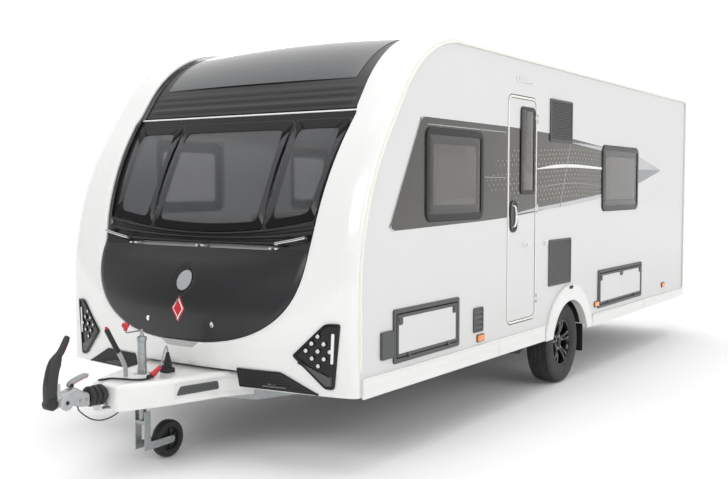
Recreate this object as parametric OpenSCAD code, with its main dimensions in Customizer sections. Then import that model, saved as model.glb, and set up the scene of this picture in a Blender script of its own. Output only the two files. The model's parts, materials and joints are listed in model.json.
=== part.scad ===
// Single-axle touring caravan: +Y is the rear, +X is the entrance-door side, +Z is up.
// The origin is on the ground, under the middle of the whole length.
// Lengths along Y are written from the axle line, and at_axle() moves them to the origin.

/* [Body shell] */
// Width over the outer faces of the side walls
body_w = 2250; // [2000:10:2400]
// Thickness of the side walls, front wall and rear wall
wall_t = 32; // [24:1:40]
// Height of the underside of the floor above the ground
floor_z = 420; // [380:5:460]
// Thickness of the floor
floor_t = 44; // [35:1:60]
// Height of the roof edge at the side walls above the ground
roof_z = 2424; // [2250:5:2600]
// Thickness of the roof
roof_t = 32; // [24:1:45]
// Extra height of the roof along its centre line
roof_crown = 52; // [20:1:80]
// Distance from the axle forward to the upright part of the front wall
front_reach = 2900; // [2600:10:3300]
// Distance from the axle back to the rear wall's outer face
rear_reach = 3180; // [2800:10:3600]

/* [Front shape] */
// Height at which the front starts to lean back
lean_z = 950; // [850:10:1050]
// Lean of the raked window, from upright
lean = 35; // [28:1:38]
// Radius of the curve below the windows
nose_r = 1550; // [1300:10:1800]
// Straight length between the two curves
rake_len = 300; // [200:10:400]
// Height of the front moulding over the line of the side walls
moulding_rise = 50; // [30:1:60]
// Width of the rounded corner of the front moulding
corner_w = 110; // [80:1:140]
// How far the lower nose swells forward at its middle
nose_bulge = 160; // [100:5:200]
// Half width of the flat root of the nose swelling
bulge_half_w = 1050; // [950:10:1100]
// Thickness of the front moulding
moulding_t = 10; // [6:1:14]

/* [Front windows and lid] */
// Half width of the window opening at its top
win_top_half = 859; // [800:1:900]
// Half width of the window opening at its bottom corners
win_low_half = 800; // [760:1:860]
// Height of the top edge of the windows
win_top_z = 1925; // [1880:5:1960]
// Height of the bottom edge of the windows at the middle
win_mid_z = 1262; // [1230:2:1300]
// Rise of the bottom edge towards the window corners
win_low_rise = 78; // [40:2:100]
// Half width between the middle of the two window pillars
pillar_half = 446; // [400:1:500]
// Width of the black window surround
surround_w = 34; // [24:1:50]
// Half width of the gas locker lid
lid_half = 808; // [760:1:840]
// Height of the lid's hinge line
lid_top_z = 1180; // [1150:2:1200]
// Depth of the lid from its hinge line to its lower edge
lid_drop = 520; // [480:2:540]
// Running gap around every door and lid
door_gap = 6; // [5:0.5:8]
// Height of the lower edge of the sunroof
sun_low_z = 1978; // [1960:2:2000]
// Half width of the sunroof
sun_half = 872; // [820:1:900]

/* [Side openings] */
// Front edge of the entrance door, from the axle
door_front_y = -1115; // [-1200:5:-1050]
// Rear (hinged) edge of the entrance door, from the axle
door_rear_y = -640; // [-700:5:-600]
// Lower edge of the entrance door above the ground
door_low_z = 590; // [560:5:640]
// Upper edge of the entrance door above the ground
door_top_z = 2165; // [2050:5:2200]
// Front edge of the forward side window
win_a_y = -2230; // [-2300:5:-2150]
// Length of the forward side window
win_a_len = 743; // [600:5:800]
// Front edge of the rearward side window
win_b_y = 705; // [650:5:800]
// Length of the rearward side window
win_b_len = 945; // [700:5:1000]
// Lower edge of the side windows
side_win_z = 1330; // [1250:5:1400]
// Height of the side windows
side_win_h = 560; // [450:5:600]
// Front edge of the forward locker door frame
locker_a_y = -2576; // [-2620:2:-2500]
// Length of the forward locker door frame
locker_a_len = 766; // [600:2:800]
// Lower edge of the forward locker door frame
locker_a_z = 550; // [540:2:600]
// Height of the forward locker door frame
locker_a_h = 305; // [260:5:340]
// Front edge of the rearward locker door frame
locker_b_y = 642; // [620:2:700]
// Length of the rearward locker door frame
locker_b_len = 1148; // [900:2:1200]
// Lower edge of the rearward locker door frame
locker_b_z = 516; // [514:2:560]
// Height of the rearward locker door frame
locker_b_h = 321; // [280:5:340]
// Front edge of the cassette door frame on the far side
cassette_y = 1960; // [1700:5:2200]
// Length of the cassette door frame
cassette_len = 420; // [360:5:460]
// Width of a locker door's fixed frame
locker_frame_w = 26; // [20:1:34]

/* [Running gear] */
// Outer diameter of the tyres
tyre_d = 628.6; // [580:0.1:660]
// Width of the tyres
tyre_w = 195; // [165:5:205]
// Diameter of the rims at the bead
rim_d = 355.6; // [330:0.1:381]
// Distance from the centre plane to a tyre's outer wall
tyre_face_x = 1093; // [1000:1:1095]
// Inner radius of the wheel arch trims
arch_r = 370; // [350:1:390]
// Width of the wheel arch trims
arch_w = 125; // [90:1:140]
// Height of the middle of the wheel arch
arch_z = 280; // [260:1:300]
// Half distance between the chassis rails
rail_x = 560; // [480:5:620]
// Width of a chassis rail
rail_w = 42; // [36:1:50]
// Depth of a chassis rail
rail_h = 112; // [90:1:140]

/* [Hitch and jockey wheel] */
// Distance from the axle forward to the tip of the coupling head
hitch_reach = 4026; // [3900:2:4200]
// Height of the middle of the coupling head's ball socket
ball_z = 452; // [430:1:470]
// Diameter of the tow ball that the coupling takes
ball_d = 50; // [50:0.1:50.8]
// Distance from the axle forward to the jockey wheel's post
jockey_reach = 3385; // [3300:5:3450]
// Diameter of the jockey wheel
jockey_d = 213; // [195:1:230]
// Width of the jockey wheel
jockey_w = 60; // [50:1:70]
// Trail of the jockey wheel behind its post
jockey_trail = 185; // [160:1:200]
// Bore of the jockey wheel's outer tube
jockey_bore = 42; // [38:0.5:50]
// Radial running clearance in tubes and pivots
run_gap = 0.05; // [0.02:0.01:0.1]

/* [Hidden] */
$fn = 48;

half_w = body_w / 2;
inner_x = half_w - wall_t;
tyre_r = tyre_d / 2;
axle_z = tyre_r;
tail_reach = rear_reach + 86;
shift_y = (hitch_reach - tail_reach) / 2;
seat_gap = 0.3;

module at_axle() { translate([0, shift_y, 0]) children(); }

module both_sides() {
  children();
  mirror([1, 0, 0]) children();
}

// A box given by its lowest corner and its highest corner.
module box(low, high) { translate(low) cube(high - low); }

// A rounded bar of the wall, lying in the YZ plane, from x0 to x1.
module side_slab(x0, x1) {
  translate([x0, 0, 0]) rotate([90, 0, 90]) linear_extrude(x1 - x0) children();
}

// A rectangle with round corners, given by its lower corner, size and radius.
module round_rect(low, size, r) {
  translate(low + [r, r]) {
    translate([-r, 0]) square([size[0], size[1] - 2 * r]);
    translate([0, -r]) square([size[0] - 2 * r, size[1]]);
    for (i = [0, 1], j = [0, 1])
      translate([i * (size[0] - 2 * r), j * (size[1] - 2 * r)]) circle(r);
  }
}

// ---- The line of the front, walked from the floor up and over to the roof ----

arc_len = nose_r * lean * PI / 180;
rake_z = lean_z + nose_r * sin(lean) + rake_len * cos(lean);
rake_y = -front_reach + nose_r * (1 - cos(lean)) + rake_len * sin(lean);
brow_r = (roof_z - rake_z) / (1 - sin(lean));
brow_len = brow_r * (90 - lean) * PI / 180;
s_arc = lean_z - floor_z;
s_rake = s_arc + arc_len;
s_brow = s_rake + rake_len;
s_roof = s_brow + brow_len;
brow_y = rake_y + brow_r * cos(lean);

// Point and lean at a walked length: [y, z, lean].
function front_line(s) =
  s < s_arc ? [-front_reach, floor_z + s, 0]
  : s < s_rake ? let (a = (s - s_arc) / nose_r * 180 / PI)
      [-front_reach + nose_r * (1 - cos(a)), lean_z + nose_r * sin(a), a]
  : s < s_brow ? let (d = s - s_rake)
      [-front_reach + nose_r * (1 - cos(lean)) + d * sin(lean),
       lean_z + nose_r * sin(lean) + d * cos(lean), lean]
  : s < s_roof ? let (a = lean + (s - s_brow) / brow_r * 180 / PI)
      [rake_y + brow_r * (cos(lean) - cos(a)), rake_z + brow_r * (sin(a) - sin(lean)), a]
  : [brow_y + s - s_roof, roof_z, 90];

// Walked length at a height.
function s_at(z) =
  z < lean_z ? z - floor_z
  : z < lean_z + nose_r * sin(lean) ? s_arc + nose_r * asin((z - lean_z) / nose_r) * PI / 180
  : z < rake_z ? s_rake + (z - lean_z - nose_r * sin(lean)) / cos(lean)
  : s_brow + brow_r * (asin(min(1, sin(lean) + (z - rake_z) / brow_r)) - lean) * PI / 180;

bulge_mid_z = 800;
bulge_top_z = 1200;
// Share of the nose swelling at a height.
function bulge_share(z) =
  z > bulge_top_z ? 0
  : z > bulge_mid_z ? sin(90 * (bulge_top_z - z) / (bulge_top_z - bulge_mid_z))
  : 1 - 0.37 * pow((bulge_mid_z - z) / (bulge_mid_z - floor_z), 2);

// Share of the moulding's rise left at a place across the width: it rounds away at the corners.
function corner_share(x) =
  let (d = max(0, abs(x) - (half_w - corner_w)) / corner_w) sqrt(max(0, 1 - d * d));

// Share of the roof's crown at a place across the width.
function crown_share(x) = 1 - pow(x / half_w, 2);

// A point on the front, lift millimetres proud of the line of the side walls.
function front_pt(x, s, lift) =
  let (p = front_line(s), up = sin(p[2]),
       swell = nose_bulge * bulge_share(p[1]) * max(0, 1 - pow(x / bulge_half_w, 2)),
       crown = roof_crown * crown_share(x) * max(0, (p[2] - lean) / (90 - lean)))
  [x, p[0] - lift * cos(p[2]) - swell, p[1] + lift * up + crown];

// A closed shell between an outer and an inner grid of points with the same rows and columns.
module shell(outer, inner) {
  rows = len(outer);
  cols = len(outer[0]);
  n = rows * cols;
  function id(r, c) = r * cols + c;
  points = [for (row = outer) each row, for (row = inner) each row];
  faces = [
    for (r = [0:rows - 2], c = [0:cols - 2]) each [
      [id(r, c), id(r + 1, c), id(r + 1, c + 1)], [id(r, c), id(r + 1, c + 1), id(r, c + 1)],
      [n + id(r, c), n + id(r + 1, c + 1), n + id(r + 1, c)],
      [n + id(r, c), n + id(r, c + 1), n + id(r + 1, c + 1)]],
    for (r = [0:rows - 2]) each [
      [id(r, 0), n + id(r, 0), n + id(r + 1, 0)], [id(r, 0), n + id(r + 1, 0), id(r + 1, 0)],
      [id(r, cols - 1), n + id(r + 1, cols - 1), n + id(r, cols - 1)],
      [id(r, cols - 1), id(r + 1, cols - 1), n + id(r + 1, cols - 1)]],
    for (c = [0:cols - 2]) each [
      [id(0, c), n + id(0, c + 1), n + id(0, c)], [id(0, c), id(0, c + 1), n + id(0, c + 1)],
      [id(rows - 1, c), n + id(rows - 1, c), n + id(rows - 1, c + 1)],
      [id(rows - 1, c), n + id(rows - 1, c + 1), id(rows - 1, c + 1)]]
  ];
  polyhedron(points, faces);
}

// A piece of the front: place(u, v) gives [x, s] for u and v from 0 to 1,
// lift(x) its outer face's height and t its thickness.
module front_patch(nu, nv, place, lift, t) {
  grid = [for (j = [0:nv]) [for (i = [0:nu]) place(i / nu, j / nv)]];
  shell([for (row = grid) [for (p = row) front_pt(p[0], p[1], lift(p[0]))]],
        [for (row = grid) [for (p = row) front_pt(p[0], p[1], lift(p[0]) - t)]]);
}

function mix(a, b, t) = a + (b - a) * t;

// Half width of the window opening at a height.
function win_half(z) = mix(win_low_half, win_top_half,
                           (z - win_mid_z - win_low_rise) / (win_top_z - win_mid_z - win_low_rise));
// Height of the lower window edge across the width.
function win_low(x) = win_mid_z + win_low_rise * pow(x / win_low_half, 2);

lid_power = 2.5;
// Outline of the lid's lower edge at an angle: 0 at the hinge line's end, 90 at the lowest point.
function lid_edge(a, grow) = [
  (lid_half + grow) * pow(max(0, cos(a)), 2 / lid_power),
  lid_top_z - (lid_drop + grow) * pow(max(0, sin(a)), 2 / lid_power)];

// ---- Hinges: the pin and the end knuckles are fixed, the middle knuckle turns ----

knuckle_r = 6;
pin_r = 3;
hinge_len = 60;
knuckle_len = 18;
// Fixed half along Z, standing on the origin; base is drawn where the knuckles are fastened.
module hinge_fixed() {
  cylinder(r = pin_r, h = hinge_len, $fn = 24);
  for (z = [0, hinge_len - knuckle_len]) translate([0, 0, z]) {
    cylinder(r = knuckle_r, h = knuckle_len, $fn = 32);
    linear_extrude(knuckle_len) children();
  }
}

module hinge_turning() {
  translate([0, 0, knuckle_len + 0.5]) difference() {
    union() {
      cylinder(r = knuckle_r, h = hinge_len - 2 * knuckle_len - 1, $fn = 32);
      linear_extrude(hinge_len - 2 * knuckle_len - 1) children();
    }
    translate([0, 0, -1]) cylinder(r = pin_r + run_gap, h = hinge_len, $fn = 24);
  }
}

// ---- Chassis and running gear ----

nose_x = 70;
rail_nose_y = -3600;
rail_bend_y = -2300;
rail_end_y = rear_reach - 480;
// Middle of a rail across the width, along the slanted draw frame.
function rail_mid_x(y) = mix(nose_x, rail_x, (y - rail_nose_y) / (rail_bend_y - rail_nose_y));
module rail_plan() {
  polygon([
    [nose_x - rail_w / 2, rail_nose_y], [nose_x + rail_w / 2, rail_nose_y],
    [rail_x + rail_w / 2, rail_bend_y], [rail_x + rail_w / 2, rail_end_y],
    [rail_x - rail_w / 2, rail_end_y], [rail_x - rail_w / 2, rail_bend_y + 10]]);
}

module chassis_rails() {
  color("silver") at_axle() both_sides() difference() {
    translate([0, 0, floor_z - rail_h]) linear_extrude(rail_h) rail_plan();
    // the draw frame gets shallower towards the coupling
    side_slab(-1, rail_x + rail_w) polygon([
      [-3700, 0], [-2850, floor_z - rail_h], [-3100, floor_z - 56], [-3700, floor_z - 56]]);
  }
}

module cross_members() {
  reach = rail_x - rail_w / 2;
  color("silver") at_axle()
    for (y = [-2200, -1250, 1000, 2050, rail_end_y - 40])
      box([-reach, y, floor_z - 70], [reach, y + 40, floor_z]);
}

arm_y = -165;
axle_tube_r = 52;
arm_z = floor_z - rail_h - axle_tube_r * cos(30);
module axle_tube() {
  color("silver") at_axle() {
    translate([-rail_x - 180, arm_y, arm_z]) rotate([0, 90, 0])
      rotate([0, 0, 30]) cylinder(r = axle_tube_r, h = 2 * rail_x + 360, $fn = 6);
    both_sides() difference() {
      box([rail_x + rail_w / 2, arm_y - 75, arm_z - 60],
          [rail_x + rail_w / 2 + 8, arm_y + 75, floor_z - 20]);
      translate([rail_x, arm_y, arm_z]) rotate([0, 90, 0])
        rotate([0, 0, 30]) cylinder(r = axle_tube_r - 1, h = 60, $fn = 6);
    }
  }
}

arm_x = rail_x + 180 + seat_gap;
stub_r = 19;
hub_in = 50;
drum_end = 126;
module suspension_arms() {
  color("dimgray") at_axle() both_sides() {
    hull() {
      translate([arm_x, arm_y, arm_z]) rotate([0, 90, 0]) cylinder(r = 46, h = 42);
      translate([arm_x, 0, axle_z]) rotate([0, 90, 0]) cylinder(r = 38, h = 42);
    }
    translate([arm_x + 40, 0, axle_z]) rotate([0, 90, 0])
      cylinder(r = stub_r, h = tyre_face_x - hub_in - 1 - arm_x - 40);
    // brake backplate
    translate([tyre_face_x - drum_end - 9, 0, axle_z]) rotate([0, 90, 0]) cylinder(r = 116, h = 8);
  }
}

module wheel_disc() {
  // Rim, spokes and drum, around the X axis, with the outer side at x = 0.
  barrel_w = tyre_w - 18;
  rotate([0, -90, 0]) {
    rotate_extrude($fn = 96) polygon([
      [rim_d / 2 + 12, 9], [rim_d / 2 + 12, 17], [rim_d / 2, 22], [rim_d / 2, barrel_w - 4],
      [rim_d / 2 + 12, barrel_w], [rim_d / 2 + 12, barrel_w + 6], [rim_d / 2 - 6, barrel_w + 4],
      [rim_d / 2 - 9, 60], [rim_d / 2 - 16, 20], [rim_d / 2 - 6, 9]]);
    for (k = [0:9]) rotate([0, 0, k * 36]) rotate([90, 0, 0])
      translate([0, 0, -9]) linear_extrude(18) polygon([
        [40, 36], [rim_d / 2 - 14, 20], [rim_d / 2 - 12, 38], [40, 58]]);
    difference() {
      union() {
        translate([0, 0, 34]) cylinder(r = 62, h = 26);
        translate([0, 0, 28]) cylinder(r = 30, h = 8);
      }
      translate([0, 0, hub_in]) cylinder(r = stub_r + run_gap, h = 20);
    }
    difference() {
      translate([0, 0, 60]) cylinder(r = 118, h = drum_end - 60);
      translate([0, 0, 68]) cylinder(r = 110, h = 60);
      translate([0, 0, hub_in]) cylinder(r = stub_r + run_gap, h = 30);
    }
  }
}

module tyre() {
  bead = rim_d / 2 + 0.3;
  rotate([0, -90, 0]) rotate_extrude($fn = 96) polygon(concat(
    [[bead, 22.5], [bead + 12.5, 17.3], [tyre_r - 70, 2], [tyre_r - 40, 2]],
    [for (a = [0:15:90]) [tyre_r - 22 + 22 * sin(a), 24 - 22 * cos(a)]],
    [for (a = [90:-15:0]) [tyre_r - 22 + 22 * sin(a), tyre_w - 24 + 22 * cos(a)]],
    [[tyre_r - 40, tyre_w - 2], [tyre_r - 70, tyre_w - 2], [bead + 12.5, tyre_w - 18.5],
     [bead, tyre_w - 23], [bead, 22.5]]));
}

module place_wheel(side) {
  at_axle() mirror([side < 0 ? 1 : 0, 0, 0]) translate([tyre_face_x, 0, axle_z]) children();
}

module left_wheel() { color("#1a1a1c") place_wheel(1) wheel_disc(); }
module left_tyre() { color("#202022") place_wheel(1) tyre(); }
module right_wheel() { color("#1a1a1c") place_wheel(-1) wheel_disc(); }
module right_tyre() { color("#202022") place_wheel(-1) tyre(); }

// ---- Floor, walls and roof ----

arch_y = 15;
box_x = tyre_face_x - tyre_w - 60;
box_half = arch_r + 30;
box_top = arch_z + arch_r + 60;

module floor_panel() {
  t = 6;
  x = inner_x - seat_gap;
  color("dimgray") at_axle() difference() {
    union() {
      box([-x, -front_reach + wall_t, floor_z], [x, rear_reach - wall_t, floor_z + floor_t]);
      both_sides() box([box_x, arch_y - box_half, floor_z], [x, arch_y + box_half, box_top]);
    }
    both_sides() box([box_x + t, arch_y - box_half + t, floor_z - 1],
                     [inner_x + 1, arch_y + box_half - t, box_top - t]);
  }
}

module wall_outline() {
  lines = concat([for (s = [0, s_arc]) front_line(s)],
                 [for (k = [1:8]) front_line(mix(s_arc, s_rake, k / 8))],
                 [for (k = [0:10]) front_line(mix(s_brow, s_roof, k / 10))]);
  tail_r = 60;
  polygon(concat([for (p = lines) [p[0], p[1]]],
    [for (a = [0:15:90]) [rear_reach - tail_r + tail_r * sin(a), roof_z - tail_r + tail_r * cos(a)]],
    [[rear_reach, floor_z]]));
}

module side_wall_blank() {
  side_slab(inner_x, half_w) difference() {
    wall_outline();
    translate([arch_y, arch_z]) circle(arch_r + 30, $fn = 96);
  }
}

module window_hole(y, z, len, h) {
  side_slab(inner_x - 10, half_w + 10) round_rect([y, z], [len, h], 55);
}

door_r = 60;
module left_wall() {
  color("#e6e7e8") at_axle() difference() {
    side_wall_blank();
    window_hole(win_a_y + 18, side_win_z + 18, win_a_len - 36, side_win_h - 36);
    window_hole(win_b_y + 18, side_win_z + 18, win_b_len - 36, side_win_h - 36);
    side_slab(inner_x - 10, half_w + 10)
      round_rect([door_front_y - door_gap, door_low_z - door_gap],
                 [door_rear_y - door_front_y + 2 * door_gap,
                  door_top_z - door_low_z + 2 * door_gap], door_r + door_gap);
    locker_hole(locker_a_y, locker_a_z, locker_a_len, locker_a_h);
    locker_hole(locker_b_y, locker_b_z, locker_b_len, locker_b_h);
  }
  color("#c9cacb") at_axle() door_hinge_fixed();
}

door_pin = [half_w + 9, door_rear_y + door_gap / 2];
door_hinges = [door_low_z + 110, door_low_z + 760, door_top_z - 170];
module door_hinge_fixed() {
  for (z = door_hinges) translate([door_pin[0], door_pin[1], z]) hinge_fixed()
    polygon([[-9, door_gap / 2 + 2], [-9, 30], [-6, 30], [4, 4], [4, -2]]);
}

module locker_hole(y, z, len, h) {
  side_slab(inner_x - 10, half_w + 10)
    round_rect([y + 16, z + 16], [len - 32, h - 32], 12);
}

far_win = [[-2230, 743], [-700, 620], [705, 945]];
module right_wall() {
  color("#e6e7e8") at_axle() mirror([1, 0, 0]) difference() {
    side_wall_blank();
    for (w = far_win) window_hole(w[0] + 18, side_win_z + 18, w[1] - 36, side_win_h - 36);
    locker_hole(cassette_y, locker_b_z + 14, cassette_len, locker_b_h);
  }
}

module roof_outline(x, drop) {
  steps = 12;
  polygon(concat(
    [for (k = [-steps:steps]) let (q = x * k / steps) [q, roof_crown * crown_share(q) - drop]],
    [for (k = [steps:-1:-steps]) let (q = x * k / steps)
      [q, roof_crown * crown_share(q) - drop - roof_t]]));
}

sun_top_s = s_roof + 40;
roof_front = front_line(sun_top_s)[0] + 8;
module roof_panel() {
  color("#f2f2f2") at_axle()
    translate([0, rear_reach - wall_t, roof_z]) rotate([90, 0, 0])
      linear_extrude(rear_reach - wall_t - roof_front) roof_outline(inner_x - seat_gap, 4);
}

module rear_wall() {
  steps = 12;
  color("#f0f0f0") at_axle() translate([0, rear_reach, 0]) rotate([90, 0, 0])
    linear_extrude(wall_t) polygon(concat(
      [[-inner_x + seat_gap, floor_z], [inner_x - seat_gap, floor_z]],
      [for (k = [steps:-1:-steps]) let (q = (inner_x - seat_gap) * k / steps)
        [q, roof_z + roof_crown * crown_share(q) - 4]]));
}

// ---- Front wall and mouldings ----

front_wall_drop = 8;
module front_wall() {
  count = 28;
  s_end = sun_top_s;
  function edge(s, lift) = let (p = front_line(s)) [p[0] - lift * cos(p[2]), p[1] + lift * sin(p[2])];
  color("#d8d8d6") at_axle() difference() {
    side_slab(-inner_x + seat_gap, inner_x - seat_gap) polygon(concat(
      [for (k = [0:count]) edge(s_end * k / count, -front_wall_drop)],
      [for (k = [count:-1:0]) edge(s_end * k / count, -front_wall_drop - wall_t + 8)]));
    // window opening
    box([-win_low_half + 30, -front_reach - 100, win_mid_z + 60],
        [win_low_half - 30, -front_reach + 600, win_top_z - 40]);
    // sunroof opening
    box([-sun_half + 90, -front_reach + 350, sun_low_z + 50],
        [sun_half - 90, brow_y - 60, roof_z + 100]);
    // gas locker opening
    box([-lid_half + 110, -front_reach - 100, lid_top_z - lid_drop + 110],
        [lid_half - 110, -front_reach + 100, lid_top_z - 40]);
  }
  color("#8a8c8e") at_axle() at_lid_hinges()
    hinge_fixed() polygon([[-5, 0], [-5, 56], [5, 56], [5, 0]]);
}

edge_rise = 8;
band_lift = function(x) edge_rise + (moulding_rise - edge_rise) * corner_share(x);

// Inner edge of the white band beside the lid, windows and sunroof, as [s, x] from the bottom up.
apron_z = 514;
function band_rows() = concat(
  [[s_at(floor_z), 400], [s_at(apron_z), 400], [s_at(apron_z + 2), 0], [s_at(590), 0],
   [s_at(lid_top_z - lid_drop - door_gap), 0]],
  [for (a = [84:-7:0]) let (e = lid_edge(a, door_gap)) [s_at(e[1]), e[0]]],
  [[s_at(lid_top_z + 20), lid_half + door_gap],
   [s_at(win_low(win_low_half)), win_low_half + surround_w]],
  [for (k = [1:5]) let (z = mix(win_low(win_low_half), win_top_z, k / 5))
    [s_at(z), win_half(z) + surround_w]],
  [[s_at(sun_low_z), sun_half + 6]],
  [for (k = [1:12]) [mix(s_at(sun_low_z), sun_top_s, k / 12), sun_half + 6]]);

module band() {
  cols = 8;
  rows = band_rows();
  function across(x0, i) = let (t = i / cols) mix(x0, half_w, 1 - pow(1 - t, 1.6));
  shell([for (r = rows) [for (i = [0:cols]) let (x = across(r[1], i)) front_pt(x, r[0], band_lift(x))]],
        [for (r = rows) [for (i = [0:cols]) let (x = across(r[1], i))
          front_pt(x, r[0], max(4 * seat_gap, band_lift(x) - moulding_t))]]);
}

module front_moulding() {
  color("#f4f4f4") at_axle() both_sides() band();
}

glass_lift = function(x) 15;
module front_window_panes() {
  t = 5;
  edge = 12;
  function top_s(x) = s_at(win_top_z - edge);
  function low_s(x) = s_at(win_low(x) + edge);
  function side_x(v) = mix(win_low_half, win_top_half, v) - edge;
  color("#30363c") at_axle() {
    front_patch(6, 6, function(u, v)
      let (x = mix(-pillar_half + edge, pillar_half - edge, u)) [x, mix(low_s(x), top_s(x), v)],
      glass_lift, t);
    both_sides() front_patch(4, 6, function(u, v)
      let (x = mix(pillar_half + edge, side_x(v), u)) [x, mix(low_s(x), top_s(x), v)],
      glass_lift, t);
  }
}

module front_window_surround() {
  t = 15.5;
  lift = function(x) glass_lift(x) - 6.3;
  function side_x(v) = mix(win_low_half, win_top_half, v);
  color("#141416") at_axle() {
    // dark sill between the lid and the windows
    front_patch(12, 2, function(u, v) let (x = mix(-lid_half, lid_half, u))
      [x, mix(s_at(lid_top_z + 24), s_at(win_low(x) - 5), v)], function(x) 30, 30);
    // header and footer
    front_patch(12, 1, function(u, v) let (x = mix(-win_top_half - 20, win_top_half + 20, u))
      [x, mix(s_at(win_top_z - 34), s_at(win_top_z + 4), v)], lift, t);
    front_patch(12, 1, function(u, v) let (x = mix(-win_low_half - 20, win_low_half + 20, u))
      [x, mix(s_at(win_low(x) - 4), s_at(win_low(x) + 34), v)], lift, t);
    both_sides() {
      front_patch(1, 6, function(u, v) let (x = side_x(v) - 34 + 54 * u)
        [x, mix(s_at(win_low(win_low_half) + 34), s_at(win_top_z - 34), v)], lift, t);
      front_patch(1, 6, function(u, v) let (x = pillar_half - 30 + 60 * u)
        [x, mix(s_at(win_low(pillar_half) + 34), s_at(win_top_z - 34), v)], lift, t);
    }
  }
}

module sunroof() {
  lift = function(x) 20;
  color("#26272a") at_axle()
    front_patch(12, 10, function(u, v) [mix(-sun_half, sun_half, u), mix(s_at(sun_low_z), sun_top_s, v)],
                lift, 27);
}

module front_grab_handles() {
  ends = [[605, 1215], [780, 1246]];
  module knob(e, lift, r) { translate(front_pt(e[0], s_at(e[1]), lift)) sphere(r = r, $fn = 14); }
  color("#d9dadb") at_axle() both_sides() {
    hull() for (e = ends) knob(e, 66, 13);
    for (e = ends) hull() {
      knob(e, 66, 10);
      knob(e, 39.5, 10);
    }
  }
}

module light_pods() {
  color("#101012") at_axle() both_sides() {
    front_patch(4, 4, function(u, v)
      let (z = mix(462, 815, v), mid = 1 - abs(v - 0.46) / 0.54,
           x0 = mix(950, 776, max(0, mid)), x1 = mix(1000, 1040, v))
      [mix(x0, x1, u), s_at(z)],
      function(x) band_lift(x) + 13.6, 12);
  }
}

module corner_grilles() {
  color("#161617") at_axle() both_sides()
    front_patch(4, 2, function(u, v)
      let (z = mix(428, 534, v)) [mix(mix(480, 560, v), mix(920, 672, v), u), s_at(z)],
      function(x) band_lift(x) + 7, 6);
}

locker_back_y = -2480;
module gas_locker_box() {
  x = lid_half - 20;
  front = -front_reach + wall_t + 33;
  top = lid_top_z - 10;
  t = 14;
  color("#8b8d90") at_axle() difference() {
    box([-x - t, front, floor_z + floor_t], [x + t, locker_back_y + t, top]);
    box([-x, front - 1, floor_z + floor_t + t], [x, locker_back_y, top - t]);
  }
}

lid_pin = [-front_reach - 25, lid_top_z + 14];
module at_lid_hinges() {
  for (x = [-560, 0, 560]) translate([x - hinge_len / 2, lid_pin[0], lid_pin[1]]) rotate([0, 90, 0])
    children();
}

module gas_locker_lid() {
  t = 16;
  cols = 12;
  lift = function(x) moulding_rise * corner_share(x) - 2;
  angles = [for (a = [88, 80, 70, 60, 50, 40, 30, 20, 10, 0]) a];
  grid = [for (a = angles) let (e = lid_edge(a, 0))
           [for (i = [0:cols]) [mix(-e[0], e[0], i / cols), s_at(e[1])]]];
  color("#3a3b3e") at_axle()
    shell([for (row = grid) [for (p = row) front_pt(p[0], p[1], lift(p[0]))]],
          [for (row = grid) [for (p = row) front_pt(p[0], p[1], lift(p[0]) - t)]]);
  color("#8a8c8e") at_axle() at_lid_hinges()
    hinge_turning() polygon([[0, 5], [18, 5], [18, -8], [0, -5]]);
}

// ---- Trim on the sides ----

module awning_rails() {
  w = 9;
  lines = concat([for (s = [0, s_arc]) front_line(s)],
                 [for (k = [1:8]) front_line(mix(s_arc, s_rake, k / 8))],
                 [for (k = [0:10]) front_line(mix(s_brow, s_roof, k / 10))],
                 [[rear_reach - 40, roof_z, 90]]);
  color("#f5f3ea") at_axle() both_sides()
    side_slab(half_w, half_w + 12) polygon(concat(
      [for (p = lines) [p[0] - 2 * cos(p[2]), p[1] + 2 * sin(p[2])]],
      [for (k = [len(lines) - 1:-1:0]) let (p = lines[k])
        [p[0] + (w + 2) * cos(p[2]), p[1] - (w + 2) * sin(p[2])]]));
}

skirt_t = 14;
skirt_top = 508;
skirt_low = 386;
module side_skirts() {
  color("#f1f1f1") at_axle() both_sides() {
    side_slab(half_w, half_w + skirt_t)
      polygon([[-front_reach + 20, 410], [-front_reach + 20, 518], [arch_y - arch_r - arch_w - 1, skirt_top],
               [arch_y - arch_r - arch_w - 1, 396]]);
    side_slab(half_w, half_w + skirt_t)
      polygon([[arch_y + arch_r + arch_w + 1, 382], [arch_y + arch_r + arch_w + 1, 482],
               [rear_reach, 462], [rear_reach, 390]]);
  }
}

module wheel_arches() {
  color("#f1f1f1") at_axle() both_sides() {
    side_slab(half_w, half_w + 18) difference() {
      translate([arch_y, arch_z]) circle(arch_r + arch_w, $fn = 96);
      translate([arch_y, arch_z]) circle(arch_r, $fn = 96);
      translate([arch_y - 600, -400]) square([1200, 790]);
    }
    side_slab(half_w - 40, half_w) difference() {
      translate([arch_y, arch_z]) circle(arch_r + 29.7, $fn = 96);
      translate([arch_y, arch_z]) circle(arch_r, $fn = 96);
      translate([arch_y - 600, -400]) square([1200, 820]);
    }
  }
}

module mudflaps() {
  color("#222224") at_axle() both_sides()
    box([half_w - 240, 392, 190], [half_w - 30, 396, floor_z]);
}

module window_frame(y, z, len, h) {
  side_slab(half_w, half_w + 12) difference() {
    round_rect([y, z], [len, h], 60);
    round_rect([y + 30, z + 30], [len - 60, h - 60], 40);
  }
}

module side_window_frames() {
  color("#131315") at_axle() {
    window_frame(win_a_y, side_win_z, win_a_len, side_win_h);
    window_frame(win_b_y, side_win_z, win_b_len, side_win_h);
    mirror([1, 0, 0]) for (w = far_win) window_frame(w[0], side_win_z, w[1], side_win_h);
  }
}

module window_pane(y, z, len, h) {
  side_slab(half_w - 6, half_w - 1) round_rect([y + 19, z + 19], [len - 38, h - 38], 54);
}

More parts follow.
